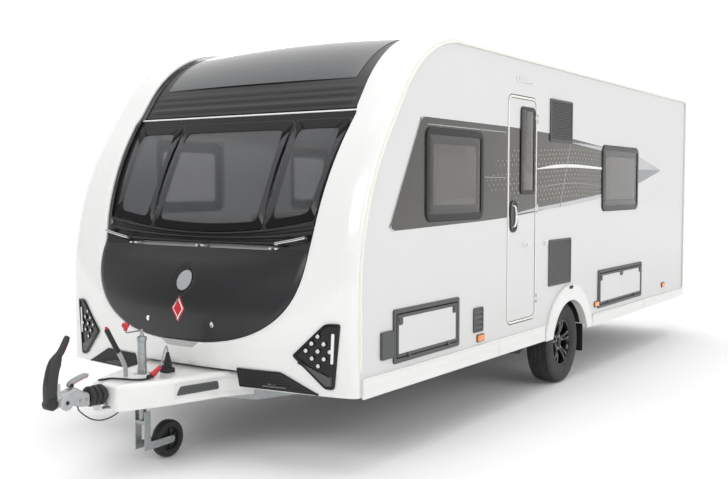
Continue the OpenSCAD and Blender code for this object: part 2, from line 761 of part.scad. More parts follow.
module side_window_panes() {
  color("#2a2d30") at_axle() {
    window_pane(win_a_y, side_win_z, win_a_len, side_win_h);
    window_pane(win_b_y, side_win_z, win_b_len, side_win_h);
    mirror([1, 0, 0]) for (w = far_win) window_pane(w[0], side_win_z, w[1], side_win_h);
  }
}

module vent(y, z, len, h) {
  side_slab(half_w, half_w + 9) round_rect([y, z], [len, h], 10);
}

module side_vents() {
  color("#56585b") at_axle() {
    vent(-405, 1873, 431, 317);
    vent(-405, 792, 431, 349);
    vent(-2705, 590, 123, 154);
    vent(-1612, 600, 132, 160);
    mirror([1, 0, 0]) vent(-1500, 700, 180, 180);
    mirror([1, 0, 0]) vent(900, 640, 180, 180);
  }
}

module marker_lamps() {
  color("#e8710f") at_axle() {
    both_sides() for (y = [-1560, 562, 2447])
      side_slab(half_w, half_w + 14) round_rect([y - 50, 535], [100, 44], 14);
  }
}

// Fixed frame of a locker door.
module locker_frame(y, z, len, h) {
  side_slab(half_w, half_w + 10) difference() {
    round_rect([y, z], [len, h], 18);
    round_rect([y + locker_frame_w, z + locker_frame_w],
               [len - 2 * locker_frame_w, h - 2 * locker_frame_w], 8);
  }
}

locker_pin_out = 10 + knuckle_r + 0.2;
// Places one hinge of a locker door; its own Z axis lies along the lower edge.
module at_locker_hinges(y, z, len) {
  for (k = [0.2, 0.8])
    translate([half_w + locker_pin_out, y + len * k - hinge_len / 2, z + locker_frame_w + door_gap / 2])
      rotate([-90, 0, 0]) children();
}
module locker_hinge_fixed(y, z, len) {
  at_locker_hinges(y, z, len) hinge_fixed() polygon([[-6.4, 22], [-3, 22], [4, 3], [-2, 0], [-6.4, 4]]);
}
module locker_hinge_turning(y, z, len) {
  at_locker_hinges(y, z, len) hinge_turning() polygon([[-8.4, -22], [-4, -22], [4, -3], [-2, 0], [-8.4, -6]]);
}

module locker_frames() {
  color("#8a8c8e") at_axle() {
    locker_hinge_fixed(locker_a_y, locker_a_z, locker_a_len);
    locker_hinge_fixed(locker_b_y, locker_b_z, locker_b_len);
    mirror([1, 0, 0]) locker_hinge_fixed(cassette_y, locker_b_z + 14, cassette_len);
  }
  color("#55585b") at_axle() {
    locker_frame(locker_a_y, locker_a_z, locker_a_len, locker_a_h);
    locker_frame(locker_b_y, locker_b_z, locker_b_len, locker_b_h);
    mirror([1, 0, 0]) locker_frame(cassette_y, locker_b_z + 14, cassette_len, locker_b_h);
  }
}

// Leaf of a locker door, hinged along its lower edge at the wall's outer face.
module locker_leaf(y, z, len, h) {
  e = locker_frame_w + door_gap;
  side_slab(half_w - 22, half_w + 8)
    round_rect([y + e, z + e], [len - 2 * e, h - 2 * e], 8);
  locker_hinge_turning(y, z, len);
}

module front_locker_door() {
  color("#e6e7e8") at_axle() locker_leaf(locker_a_y, locker_a_z, locker_a_len, locker_a_h);
}
module rear_locker_door() {
  color("#e6e7e8") at_axle() locker_leaf(locker_b_y, locker_b_z, locker_b_len, locker_b_h);
}
module cassette_door() {
  color("#e6e7e8") at_axle() mirror([1, 0, 0])
    locker_leaf(cassette_y, locker_b_z + 14, cassette_len, locker_b_h);
}

// ---- Entrance door ----

door_win = [-921, 1484, 243, 613];
module entrance_door() {
  color("#e6e7e8") at_axle() difference() {
    side_slab(inner_x + 2, half_w) round_rect([door_front_y, door_low_z],
      [door_rear_y - door_front_y, door_top_z - door_low_z], door_r);
    side_slab(inner_x - 10, half_w + 10)
      round_rect([door_win[0] + 12, door_win[1] + 12], [door_win[2] - 24, door_win[3] - 24], 30);
  }
  color("#c9cacb") at_axle() for (z = door_hinges) translate([door_pin[0], door_pin[1], z])
    hinge_turning() polygon([[-9, -door_gap / 2 - 1], [-9, -30], [-6, -30], [4, -4], [4, 2]]);
}

module door_window() {
  color("#1b1c1f") at_axle() side_slab(half_w, half_w + 9)
    round_rect([door_win[0], door_win[1]], [door_win[2], door_win[3]], 36);
}

module door_handle() {
  color("#141416") at_axle() {
    side_slab(half_w, half_w + 8) round_rect([-1085, 1224], [118, 221], 20);
    side_slab(half_w + 8, half_w + 34) round_rect([-1050, 1250], [40, 170], 12);
  }
}

// ---- Roof and rear ----

module roof_light(y0, y1, x, h, slope) {
  top = roof_z + roof_crown - 4 + seat_gap;
  hull() {
    box([-x, y0, top], [x, y1, top + 12]);
    box([-x + 50, y0 + slope, top + 12], [x - 50, y1 - 60, top + h]);
  }
}

module roof_lights() {
  color("#efefef") at_axle() {
    roof_light(-1480, -640, 330, 78, 180);
    roof_light(900, 1360, 230, 66, 60);
  }
}

module rear_lamps() {
  color("#a01010") at_axle() {
    both_sides() box([700, rear_reach, 560], [1040, rear_reach + 40, 700]);
    box([-180, rear_reach, 2300], [180, rear_reach + 30, 2340]);
    both_sides() box([1030, rear_reach, 2330], [1080, rear_reach + 86, 2400]);
  }
}

module rear_fittings() {
  color("#e8e8e8") at_axle() {
    box([-260, rear_reach, 640], [260, rear_reach + 8, 752]);
    both_sides() {
      box([560, rear_reach, 1020], [600, rear_reach + 60, 1040]);
      box([560, rear_reach + 40, 1040], [600, rear_reach + 60, 1160]);
      box([560, rear_reach, 1160], [600, rear_reach + 60, 1180]);
    }
    box([-inner_x, rear_reach, 400], [inner_x, rear_reach + 60, 520]);
  }
}

// ---- Hitch ----

cover_nose_y = -3655;
cover_end_y = -2912;
module cover_plan(inset) {
  side = [[105, cover_nose_y + inset], [205, -3430], [308, -3090], [405, cover_end_y]];
  polygon(concat([for (p = side) [p[0] - inset, p[1]]],
                 [for (k = [3:-1:0]) [inset - side[k][0], side[k][1]]]));
}

cover_t = 4;
cover_top = 500;
cover_low = 358;
module a_frame_cover() {
  t = cover_t;
  color("#ececec") at_axle() difference() {
    translate([0, 0, cover_low]) linear_extrude(cover_top - cover_low) cover_plan(0);
    translate([0, 0, cover_low - 1]) linear_extrude(cover_top - cover_low + 1 - t) cover_plan(t);
    translate([0, -jockey_reach, 400]) cylinder(r = jockey_r + 8, h = 110);
    box([-58, -3500, 480], [-22, -3445, 520]);
    translate([0, -3600, shaft_z]) rotate([90, 0, 0]) cylinder(r = 32, h = 80);
  }
  // bosses that stand on the draw frame
  color("#ececec") at_axle() both_sides() translate([rail_mid_x(-3150), -3150, floor_z])
    cylinder(r = 12, h = cover_top - cover_t - floor_z);
}

shaft_z = 428;
head_back = 3775;
module coupling_shaft() {
  color("#2a2a2c") at_axle() {
    // draw tube in the nose of the draw frame
    translate([0, -3500, shaft_z]) rotate([90, 0, 0]) cylinder(r = 24, h = head_back - 3500 - seat_gap);
    // overrun housing across the nose of the rails
    box([-92, rail_nose_y - 12, floor_z - 40], [92, rail_nose_y - seat_gap, floor_z + 50]);
    // bellows
    translate([0, -3662, shaft_z + 20]) rotate([90, 0, 0]) rotate_extrude() polygon(concat(
      [[18, 0]], [for (k = [0:3]) each [[42, k * 27], [54, k * 27 + 9], [54, k * 27 + 18]]],
      [[42, 108], [18, 108]]));
  }
}

head_y = -hitch_reach + 101;
socket_skirt = 16;
module coupling_head() {
  socket_r = ball_d / 2 + 0.5;
  color("#b9bbbd") at_axle() difference() {
    union() {
      side_slab(-34, 34) polygon([[-head_back, shaft_z + 48], [-head_back, shaft_z - 22], [head_y, ball_z - 12],
                                  [head_y - 40, ball_z], [head_y, ball_z + 56], [-3850, ball_z + 66]]);
      translate([0, head_y, ball_z - socket_skirt]) cylinder(r = 44, h = socket_skirt + 44);
      for (side = [-1, 1]) translate([side * 38 - 12, head_y, ball_z]) rotate([0, 90, 0])
        cylinder(r = 40, h = 24);
    }
    translate([0, head_y, ball_z]) sphere(r = socket_r, $fn = 64);
    translate([0, head_y, ball_z - 90]) cylinder(r = socket_r, h = 90);
  }
}

module lever(points, r0, r1, x, w) {
  side_slab(x, x + w) union() {
    for (k = [0:len(points) - 2]) let (a = points[k], b = points[k + 1], d = b - a,
        n = [-d[1], d[0]] / norm(d), ra = mix(r0, r1, k / (len(points) - 1)),
        rb = mix(r0, r1, (k + 1) / (len(points) - 1)))
      polygon([a + n * ra, b + n * rb, b - n * rb, a - n * ra]);
    for (k = [0:len(points) - 1]) translate(points[k])
      circle(mix(r0, r1, k / (len(points) - 1)));
  }
}

module hitch_levers() {
  color("#3c3d40") at_axle() {
    // stabiliser handle, standing up in front of the head
    lever([[head_y - 72.6, ball_z + 10], [head_y - 62, ball_z + 190], [head_y - 8, ball_z + 328]],
          28, 13, -20, 40);
    // coupling handle
    lever([[-3866, ball_z + 78.2], [-3780, ball_z + 112]], 14, 10, -14, 28);
    // handbrake, on its pivot in the draw frame
    lever([[-3466, 396], [-3466, 545], [-3600, 780]], 13, 15, -46, 12);
    translate([-96, -3466, 396]) rotate([0, 90, 0]) cylinder(r = 8, h = 55);
  }
}

jockey_r = jockey_bore / 2;
tube_low = 345;
tube_top = 717;
clamp_low = 396;
module jockey_tube() {
  knob = [0, -115, tube_top + 30];
  color("#c4c6c8") at_axle() translate([0, -jockey_reach, 0]) {
    difference() {
      union() {
        translate([0, 0, tube_low]) cylinder(r = jockey_r + 3, h = tube_top - tube_low);
        box([-120.2, -24, clamp_low], [120.2, 24, clamp_low + 24]);
      }
      translate([0, 0, tube_low - 1]) cylinder(r = jockey_r, h = tube_top - tube_low - 9);
    }
    // winding handle with its knob
    translate([0, 0, tube_top]) cylinder(r = 8, h = 36);
    box([-8, -120, tube_top + 28], [8, 4, tube_top + 34]);
    translate(knob) cylinder(r = 6, h = 26);
    translate(knob + [0, 0, 26]) cylinder(r = 15, h = 32);
  }
}

fork_top = 250;
arm_low = 82;
strap_w = 44;
module jockey_stem() {
  color("#d0d2d4") at_axle() translate([0, -jockey_reach, 0]) {
    translate([0, 0, fork_top]) cylinder(r = jockey_r - run_gap, h = 350);
    translate([0, 0, fork_top - 24]) cylinder(r = 8, h = 25);
    translate([0, 0, fork_top - 28]) cylinder(r = 14, h = 6);
  }
}

module jockey_fork() {
  plate_x = jockey_w / 2 + 4;
  t = 5;
  color("#c4c6c8") at_axle() translate([0, -jockey_reach, 0]) {
    difference() {
      box([-plate_x - 1, -strap_w / 2, fork_top - 20], [plate_x + 1, strap_w / 2, fork_top - 0.3]);
      translate([0, 0, fork_top - 40]) cylinder(r = 8 + run_gap, h = 60);
    }
    for (side = [0, 1]) mirror([side, 0, 0]) side_slab(plate_x, plate_x + t) {
      translate([-strap_w / 2, arm_low]) square([strap_w, fork_top + 50 - arm_low]);
      polygon([[0, arm_low], [jockey_trail, jockey_d / 2 - 20], [jockey_trail, jockey_d / 2 + 20],
               [0, arm_low + 44]]);
      translate([jockey_trail, jockey_d / 2]) circle(20);
    }
    translate([-plate_x - 9, jockey_trail, jockey_d / 2]) rotate([0, 90, 0])
      cylinder(r = 8, h = 2 * plate_x + 18);
  }
}

module jockey_wheel() {
  r = jockey_d / 2;
  half = jockey_w / 2;
  color("#1d1d1f") at_axle() translate([0, jockey_trail - jockey_reach, r])
    rotate([0, 90, 0]) rotate_extrude($fn = 72) polygon([
      [8 + run_gap, -half + 2], [26, -half + 2], [30, -8], [r - 36, -8], [r - 30, -half + 4],
      [r - 10, -half], [r, -half + 14], [r, half - 14], [r - 10, half], [r - 30, half - 4],
      [r - 36, 8], [30, 8], [26, half - 2], [8 + run_gap, half - 2]]);
}

// ---- Corner steadies ----

steady_x = 860;
steady_z = 372;
steady_len = 400;
front_pivot = -2250;
rear_pivot = 2250;
module steady_brackets() {
  color("silver") at_axle() both_sides() {
    for (y = [front_pivot, rear_pivot], s = [-1, 1])
      box([steady_x + s * 40 - 5, y - 30, steady_z - 22], [steady_x + s * 40 + 5, y + 30, floor_z]);
    for (y = [front_pivot, rear_pivot]) translate([steady_x - 45, y, steady_z])
      rotate([0, 90, 0]) cylinder(r = 8, h = 90);
  }
}

// One leg, reaching forward from its pivot; rear legs are turned to reach back.
module steady(side, y, way) {
  color("#b4b6b8") at_axle() translate([side * steady_x, y, steady_z]) scale([1, way, 1])
    difference() {
      union() {
        box([-28, -steady_len, -16], [28, 10, 16]);
        box([-45, -steady_len - 40, -22], [45, -steady_len + 40, -17]);
        box([-20, -steady_len - 10, -18], [20, -steady_len + 10, -15]);
        translate([-28, 0, 0]) rotate([0, 90, 0]) cylinder(r = 16, h = 56);
      }
      translate([-40, 0, 0]) rotate([0, 90, 0]) cylinder(r = 8 + run_gap, h = 80);
    }
}

module left_front_steady() { steady(1, front_pivot, 1); }
module right_front_steady() { steady(-1, front_pivot, 1); }
module left_rear_steady() { steady(1, rear_pivot, -1); }
module right_rear_steady() { steady(-1, rear_pivot, -1); }

// ---- Interior ----

room_z = floor_z + floor_t;
chest_t = 18;
seat_deep = 560;
seat_y = [-2400, -1300];
seat_h = 380;
bed_x = -300;
bed_y = [900, 2300];
bed_h = 420;
drawer_half = 280;
drawer_y = [-2440, -2130];
link_lap = 1;
bulkhead_y = [620, 650];
cupboard_top = 2380;
module furniture() {
  x = inner_x - seat_gap;
  color("#a88b68") at_axle() difference() {
    union() {
      // seat chests in the front lounge, along both walls
      both_sides() box([x - seat_deep, seat_y[0], room_z], [x, seat_y[1], room_z + seat_h]);
      // far-side worktop and cupboards
      box([-x, -1200, room_z], [-x + seat_deep, 200, room_z + 830]);
      // near-side cupboard behind the door
      box([x - seat_deep, -600, room_z], [x, -420, cupboard_top - 100]);
      // washroom bulkheads
      both_sides() box([400, bulkhead_y[0], room_z], [x, bulkhead_y[1], cupboard_top]);
      // bed chest
      box([bed_x, bed_y[0], room_z], [x, bed_y[1], room_z + bed_h]);
      // drawer chest between the front seats, and the strips that join it to them
      box([-drawer_half, drawer_y[0], room_z], [drawer_half, drawer_y[1], room_z + 640]);
      both_sides() box([drawer_half - link_lap, seat_y[0], room_z],
                       [x - seat_deep + link_lap, seat_y[0] + 50, room_z + 300]);
    }
    // storage room under the bed
    box([bed_x + chest_t, bed_y[0] + chest_t, room_z - 1],
        [x - chest_t, bed_y[1] - chest_t, room_z + bed_h - chest_t]);
    both_sides() box([box_x - seat_gap, arch_y - box_half - seat_gap, floor_z],
                     [half_w, arch_y + box_half + seat_gap, box_top + seat_gap]);
  }
}

pad_inset = 10;
module seat_cushions() {
  x = inner_x - 12;
  color("#c9bda8") at_axle() {
    both_sides() box([x - seat_deep, seat_y[0] + pad_inset, room_z + seat_h],
                     [x - 5, seat_y[1] - pad_inset, room_z + seat_h + 120]);
    box([bed_x + pad_inset, bed_y[0] + pad_inset, room_z + bed_h],
        [x - 2 * pad_inset, bed_y[1] - pad_inset, room_z + bed_h + 160]);
  }
}

// ---- Cables and plugs at the hitch ----

// A smooth curve through hand-set points, n steps between each pair.
function spline_pt(a, b, c, d, t) = 0.5 * (2 * b + (c - a) * t + (2 * a - 5 * b + 4 * c - d) * t * t
                                           + (3 * b - a - 3 * c + d) * t * t * t);
function spline(points, n) = let (last = len(points) - 1) [
  for (k = [0:last - 1], j = [0:n - 1])
    spline_pt(points[max(0, k - 1)], points[k], points[k + 1], points[min(last, k + 2)], j / n),
  points[last]];

// A round tube swept along a line of points; its rings keep square to the line.
module swept_tube(line, r, sides = 8) {
  last = len(line) - 1;
  function unit(v) = v / norm(v);
  function along(k) = unit(line[min(last, k + 1)] - line[max(0, k - 1)]);
  function sideways(k) = let (t = along(k), up = abs(t[2]) > 0.9 ? [1, 0, 0] : [0, 0, 1])
    unit(cross(t, up));
  // each ring's first direction is carried on from the one before it
  function carried(k, d) = k > last ? [] : let (t = along(k), e = unit(d - t * (d * t)))
    concat([e], carried(k + 1, e));
  starts = carried(0, sideways(0));
  rings = [for (k = [0:last]) let (t = along(k), u = starts[k], v = cross(t, u))
    [for (j = [0:sides - 1]) let (a = 360 * j / sides) line[k] + r * (u * cos(a) + v * sin(a))]];
  faces = concat(
    [for (k = [0:last - 1], j = [0:sides - 1]) let (m = (j + 1) % sides)
      each [[k * sides + j, (k + 1) * sides + j, (k + 1) * sides + m],
            [k * sides + j, (k + 1) * sides + m, k * sides + m]]],
    [[for (j = [0:sides - 1]) j]], [[for (j = [sides - 1:-1:0]) last * sides + j]]);
  polyhedron([for (ring = rings) each ring], faces);
}

cable_d = 11;
cable_bed = cover_top + seat_gap + cable_d / 2;
tow_route = [[-40, -3652, cable_bed + 6], [-58, -3610, cable_bed], [-48, -3566, cable_bed],
             [10, -3540, cable_bed], [70, -3524, cable_bed], [112, -3496, cable_bed],
             [123, -3460, cable_bed], [121, -3424, cable_bed + 4]];
module tow_cable() { color("#1c1c1e") at_axle() swept_tube(spline(tow_route, 4), cable_d / 2); }

lead_d = 9;
lead_route = [[112, -3356, 545], [110, -3340, 585], [106, -3324, 620], [94, -3300, 648],
              [76, -3272, 650], [62, -3254, 632], [58, -3248, 613.4]];
module plug_lead() { color("#2a2a2c") at_axle() swept_tube(spline(lead_route, 4), lead_d / 2); }

module tow_plugs() {
  at_axle() {
    // plug lying on the cover, with its pull handle
    color("#c8202a") translate([118, -3400, cover_top + 0.3]) rotate([0, 0, 8])
      box([-20, -16, 0], [20, 46, 44]);
    // parked plug, standing on its socket
    color("#161618") translate([58, -3248, cover_top + 0.3]) {
      cylinder(r = 30, h = 26);
      translate([0, 0, 26]) cylinder(r1 = 24, r2 = 10, h = 86, $fn = 32);
    }
  }
}

breakaway_d = 7;
breakaway_route = [[24, -3846, 421], [25, -3838, 394], [28, -3790, 352], [30, -3740, 326],
                   [30, -3680, 316], [28, -3620, 322], [26, -3570, 342], [24, -3545, 366],
                   [24, -3540, 379]];
module breakaway_cable() {
  color("#1a1a1c") at_axle() swept_tube(spline(breakaway_route, 3), breakaway_d / 2);
}

chassis_rails();
cross_members();
axle_tube();
suspension_arms();
floor_panel();
left_wall();
right_wall();
roof_panel();
rear_wall();
front_wall();
front_moulding();
front_window_surround();
front_window_panes();
sunroof();
front_grab_handles();
light_pods();
corner_grilles();
gas_locker_box();
gas_locker_lid();
awning_rails();
side_skirts();
wheel_arches();
mudflaps();
side_window_frames();
side_window_panes();
side_vents();
marker_lamps();
locker_frames();
front_locker_door();
rear_locker_door();
cassette_door();
entrance_door();
door_window();
door_handle();
roof_lights();
rear_lamps();
rear_fittings();
a_frame_cover();
coupling_shaft();
coupling_head();
hitch_levers();
jockey_tube();
jockey_stem();
jockey_fork();
jockey_wheel();
steady_brackets();
left_front_steady();
right_front_steady();
left_rear_steady();
right_rear_steady();
furniture();
seat_cushions();
left_wheel();
left_tyre();
right_wheel();
right_tyre();
tow_cable();
plug_lead();
tow_plugs();
breakaway_cable();
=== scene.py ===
"""Looks for a single-axle touring caravan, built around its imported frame.

+Y is the rear, +X the entrance-door side, +Z up, in metres. Sizes along the length are
written from the axle line, and at_axle() moves them into the frame.
"""

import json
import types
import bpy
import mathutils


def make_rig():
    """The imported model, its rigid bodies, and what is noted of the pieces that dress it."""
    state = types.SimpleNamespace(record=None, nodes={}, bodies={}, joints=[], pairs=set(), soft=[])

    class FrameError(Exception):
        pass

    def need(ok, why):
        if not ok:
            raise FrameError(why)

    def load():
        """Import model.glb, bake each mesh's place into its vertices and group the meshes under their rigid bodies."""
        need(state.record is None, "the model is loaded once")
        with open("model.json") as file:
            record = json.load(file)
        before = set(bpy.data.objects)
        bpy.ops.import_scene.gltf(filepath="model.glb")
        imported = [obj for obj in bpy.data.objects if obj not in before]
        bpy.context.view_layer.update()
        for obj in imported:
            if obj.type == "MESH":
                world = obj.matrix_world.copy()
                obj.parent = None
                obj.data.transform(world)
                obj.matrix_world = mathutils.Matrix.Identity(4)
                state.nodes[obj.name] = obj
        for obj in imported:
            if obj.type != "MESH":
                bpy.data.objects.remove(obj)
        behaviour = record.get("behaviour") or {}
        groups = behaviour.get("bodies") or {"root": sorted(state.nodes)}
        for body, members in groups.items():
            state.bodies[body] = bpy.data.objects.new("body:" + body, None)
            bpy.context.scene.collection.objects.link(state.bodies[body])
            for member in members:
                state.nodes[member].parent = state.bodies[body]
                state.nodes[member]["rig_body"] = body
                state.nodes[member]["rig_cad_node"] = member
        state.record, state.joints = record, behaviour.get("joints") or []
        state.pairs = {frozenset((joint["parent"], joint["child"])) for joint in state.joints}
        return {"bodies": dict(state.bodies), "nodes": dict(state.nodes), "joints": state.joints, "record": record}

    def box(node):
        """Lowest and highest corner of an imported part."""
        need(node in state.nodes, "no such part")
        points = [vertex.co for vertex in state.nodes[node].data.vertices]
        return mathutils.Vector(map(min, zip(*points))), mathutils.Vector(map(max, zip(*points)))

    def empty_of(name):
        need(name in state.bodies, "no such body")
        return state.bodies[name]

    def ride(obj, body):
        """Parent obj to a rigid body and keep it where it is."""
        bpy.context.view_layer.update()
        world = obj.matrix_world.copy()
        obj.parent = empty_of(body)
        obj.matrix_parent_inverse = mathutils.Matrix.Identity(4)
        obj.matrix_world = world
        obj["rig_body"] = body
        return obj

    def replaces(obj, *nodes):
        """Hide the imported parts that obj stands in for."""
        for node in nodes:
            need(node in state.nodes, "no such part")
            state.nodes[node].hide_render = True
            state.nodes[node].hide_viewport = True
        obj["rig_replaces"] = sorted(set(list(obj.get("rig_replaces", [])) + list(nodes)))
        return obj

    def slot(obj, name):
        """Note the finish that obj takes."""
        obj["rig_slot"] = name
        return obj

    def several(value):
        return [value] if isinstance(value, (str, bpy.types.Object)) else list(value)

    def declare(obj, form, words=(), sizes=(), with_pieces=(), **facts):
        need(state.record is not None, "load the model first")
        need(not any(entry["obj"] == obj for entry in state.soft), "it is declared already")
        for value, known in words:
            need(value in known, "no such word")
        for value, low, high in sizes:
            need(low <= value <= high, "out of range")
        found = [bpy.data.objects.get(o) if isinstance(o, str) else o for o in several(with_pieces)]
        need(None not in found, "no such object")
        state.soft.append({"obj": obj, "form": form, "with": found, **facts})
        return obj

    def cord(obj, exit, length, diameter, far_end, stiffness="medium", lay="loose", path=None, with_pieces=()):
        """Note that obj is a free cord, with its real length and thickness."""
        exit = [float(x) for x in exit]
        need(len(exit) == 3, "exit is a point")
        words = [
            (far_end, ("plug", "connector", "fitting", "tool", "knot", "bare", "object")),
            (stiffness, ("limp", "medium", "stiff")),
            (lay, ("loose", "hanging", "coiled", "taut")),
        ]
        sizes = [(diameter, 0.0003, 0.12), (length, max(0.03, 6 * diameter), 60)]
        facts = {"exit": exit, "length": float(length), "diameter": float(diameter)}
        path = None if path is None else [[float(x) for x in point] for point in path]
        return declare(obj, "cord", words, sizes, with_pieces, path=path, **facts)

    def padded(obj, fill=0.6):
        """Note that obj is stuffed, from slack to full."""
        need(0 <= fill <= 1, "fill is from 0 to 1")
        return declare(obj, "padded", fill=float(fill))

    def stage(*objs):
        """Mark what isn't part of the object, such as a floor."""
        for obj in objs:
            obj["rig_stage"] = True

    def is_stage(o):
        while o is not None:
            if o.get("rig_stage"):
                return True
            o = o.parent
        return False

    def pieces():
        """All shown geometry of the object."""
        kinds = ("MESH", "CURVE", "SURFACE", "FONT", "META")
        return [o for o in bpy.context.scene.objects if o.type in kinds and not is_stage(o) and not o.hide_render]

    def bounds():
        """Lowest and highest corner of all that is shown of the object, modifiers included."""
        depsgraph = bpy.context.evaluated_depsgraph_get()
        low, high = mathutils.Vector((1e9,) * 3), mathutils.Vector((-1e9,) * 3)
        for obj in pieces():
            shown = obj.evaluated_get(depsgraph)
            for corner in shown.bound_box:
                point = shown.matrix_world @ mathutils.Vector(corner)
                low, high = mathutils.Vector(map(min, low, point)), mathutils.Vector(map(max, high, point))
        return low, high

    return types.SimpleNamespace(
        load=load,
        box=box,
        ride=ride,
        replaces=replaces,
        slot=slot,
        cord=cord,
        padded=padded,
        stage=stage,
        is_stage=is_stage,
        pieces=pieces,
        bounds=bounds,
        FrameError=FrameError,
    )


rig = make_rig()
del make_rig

bl_info = {
    "name": "Touring Caravan",
    "version": (1, 0, 0),
    "blender": (4, 5, 0),
    "location": "View3D > Sidebar > Caravan",
    "description": "Surfaces and finishes of a single-axle touring caravan",
    "category": "Object",
}

import json
import math
import sys

import bmesh
import bpy
import numpy as np
from bpy.props import FloatProperty, FloatVectorProperty, IntProperty, PointerProperty
from mathutils import Vector

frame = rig.load()
CAD_LOW, CAD_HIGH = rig.bounds()
NODES = frame["nodes"]


def middle(node):
    """The middle of a node's box, as an array."""
    low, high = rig.box(node)
    return (np.array(low) + np.array(high)) / 2


AXLE_Y = float(middle("left_tyre")[1])
TYRE_LOW, TYRE_HIGH = (np.array(c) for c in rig.box("left_tyre"))
TYRE_R = float(TYRE_HIGH[2] - TYRE_LOW[2]) / 2
WALL_X = float(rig.box("left_wall")[1][0]) - 0.015
ROOM = "caravan"


# ---- Sizes and colours that a user would change ----


def size(name, default, about):
    """A length in metres."""
    return FloatProperty(name=name, description=about, default=default, unit="LENGTH", precision=4)


def tint(name, default, about):
    """A linear colour."""
    return FloatVectorProperty(name=name, description=about, default=default, size=3,
                               subtype="COLOR", min=0.0, max=1.0)


class FrontSizes(bpy.types.PropertyGroup):
    """The line of the front, from the floor up and over to the roof."""

    floor_z: size("Floor", 0.420, "Height of the underside of the body")
    roof_z: size("Roof edge", 2.424, "Height of the roof at the side walls")
    crown: size("Roof crown", 0.052, "Extra height along the middle of the roof")
    half: size("Half width", 1.125, "Half width over the side walls")
    reach: size("Front reach", 2.900, "From the axle to the upright front")
    lean_z: size("Lean height", 0.950, "Where the front starts to lean back")
    lean: FloatProperty(name="Lean", description="Lean of the windows from upright",
                        default=math.radians(35), subtype="ANGLE")
    nose_r: size("Nose radius", 1.550, "Curve below the windows")
    rake_len: size("Rake length", 0.300, "Straight stretch between the two curves")
    rise: size("Moulding rise", 0.050, "Height of the white moulding over the walls' line")
    corner: size("Corner width", 0.110, "Width of the moulding's rounded corner")
    bulge: size("Nose swelling", 0.160, "How far the lower nose swells at its middle")
    bulge_half: size("Swelling half width", 1.050, "Half width of the swelling's root")
    win_top_half: size("Window top half width", 0.859, "Half width at the windows' top")
    win_low_half: size("Window low half width", 0.800, "Half width at the windows' foot")
    win_top_z: size("Window top", 1.925, "Height of the windows' upper edge")
    win_mid_z: size("Window foot", 1.262, "Height of the windows' lower edge at the middle")
    win_low_rise: size("Window foot rise", 0.078, "Rise of the lower edge to its corners")
    pillar: size("Pillar place", 0.446, "From the middle to a window pillar")
    lid_half: size("Lid half width", 0.808, "Half width of the gas locker lid")
    lid_top: size("Lid top", 1.180, "Height of the lid's hinge line")
    lid_drop: size("Lid drop", 0.520, "From the hinge line to the lid's foot")
    gap: size("Gap", 0.006, "Running gap round doors and lids")
    sun_low: size("Sunroof foot", 1.978, "Height of the sunroof's lower edge")
    sun_half: size("Sunroof half width", 0.872, "Half width of the sunroof")


class SideSizes(bpy.types.PropertyGroup):
    """Places and sizes on the side walls."""

    window_z: size("Side window foot", 1.330, "Lower edge of the side windows")
    window_h: size("Side window height", 0.560, "Height of the side windows")
    window_r: size("Side window corner", 0.060, "Corner radius of the side windows")
    door_front: size("Door front edge", -1.115, "Front edge of the entrance door")
    door_rear: size("Door rear edge", -0.640, "Hinged edge of the entrance door")
    door_low: size("Door foot", 0.590, "Lower edge of the entrance door")
    door_top: size("Door top", 2.165, "Upper edge of the entrance door")
    slats: IntProperty(name="Vent slats", description="Slats in each fridge vent", default=19,
                       min=6)


class CaravanColours(bpy.types.PropertyGroup):
    """Base colours of the finishes."""

    wall: tint("Side sheet", (0.655, 0.660, 0.655), "Painted sheet of the side walls")
    moulding: tint("Moulding", (0.80, 0.80, 0.79), "White mouldings")
    rail: tint("Awning rail", (0.82, 0.80, 0.74), "Cream awning rail")
    graphite: tint("Graphite", (0.016, 0.0165, 0.018), "Dark satin lid and sunroof")
    black: tint("Black trim", (0.005, 0.005, 0.0055), "Gloss black frames")
    grey: tint("Grey plastic", (0.070, 0.073, 0.076), "Vents and locker frames")
    glass: tint("Tinted glass", (0.50, 0.49, 0.47), "Window acrylic")
    decal: tint("Side film", (0.050, 0.047, 0.040), "Dark film along the side")
    red: tint("Signal red", (0.52, 0.012, 0.02), "Grips, plug and knob")
    amber: tint("Amber", (0.85, 0.24, 0.015), "Side marker lenses")


# ---- Surfaces ----


def quads(index):
    """Four-sided faces between neighbouring points of a table of point numbers."""
    return np.stack([index[:-1, :-1], index[:-1, 1:], index[1:, 1:], index[1:, :-1]],
                    -1).reshape(-1, 4)


def grid(points, wrap_rows=False, wrap_cols=False):
    """Surface over a rows-by-columns table of points; a wrap joins the last line to the first."""
    rows, cols = points.shape[:2]
    index = np.arange(rows * cols).reshape(rows, cols)
    if wrap_cols:
        index = np.hstack([index, index[:, :1]])
    if wrap_rows:
        index = np.vstack([index, index[:1]])
    return points.reshape(-1, 3), quads(index).tolist()


def shell(outer, inner):
    """Closed plate between two tables of points of one size, with walls round its four edges."""
    rows, cols = outer.shape[:2]
    count = rows * cols
    index = np.arange(count).reshape(rows, cols)
    rim = np.concatenate([index[0, :-1], index[:-1, -1], index[-1, :0:-1], index[:0:-1, 0]])
    after = np.roll(rim, -1)
    walls = np.stack([rim, after, after + count, rim + count], -1)
    top = quads(index)
    faces = np.concatenate([top, top[:, ::-1] + count, walls[:, ::-1]])
    return np.concatenate([outer.reshape(-1, 3), inner.reshape(-1, 3)]), faces.tolist()


def loft(rings, caps=True):
    """Skin over closed rings of points, one after the other, with flat ends."""
    rings = np.asarray(rings, float)
    count, sides = rings.shape[:2]
    points, faces = grid(rings, wrap_cols=True)
    if caps:
        faces.append(list(range(sides - 1, -1, -1)))
        faces.append(list(range((count - 1) * sides, count * sides)))
    return points, faces


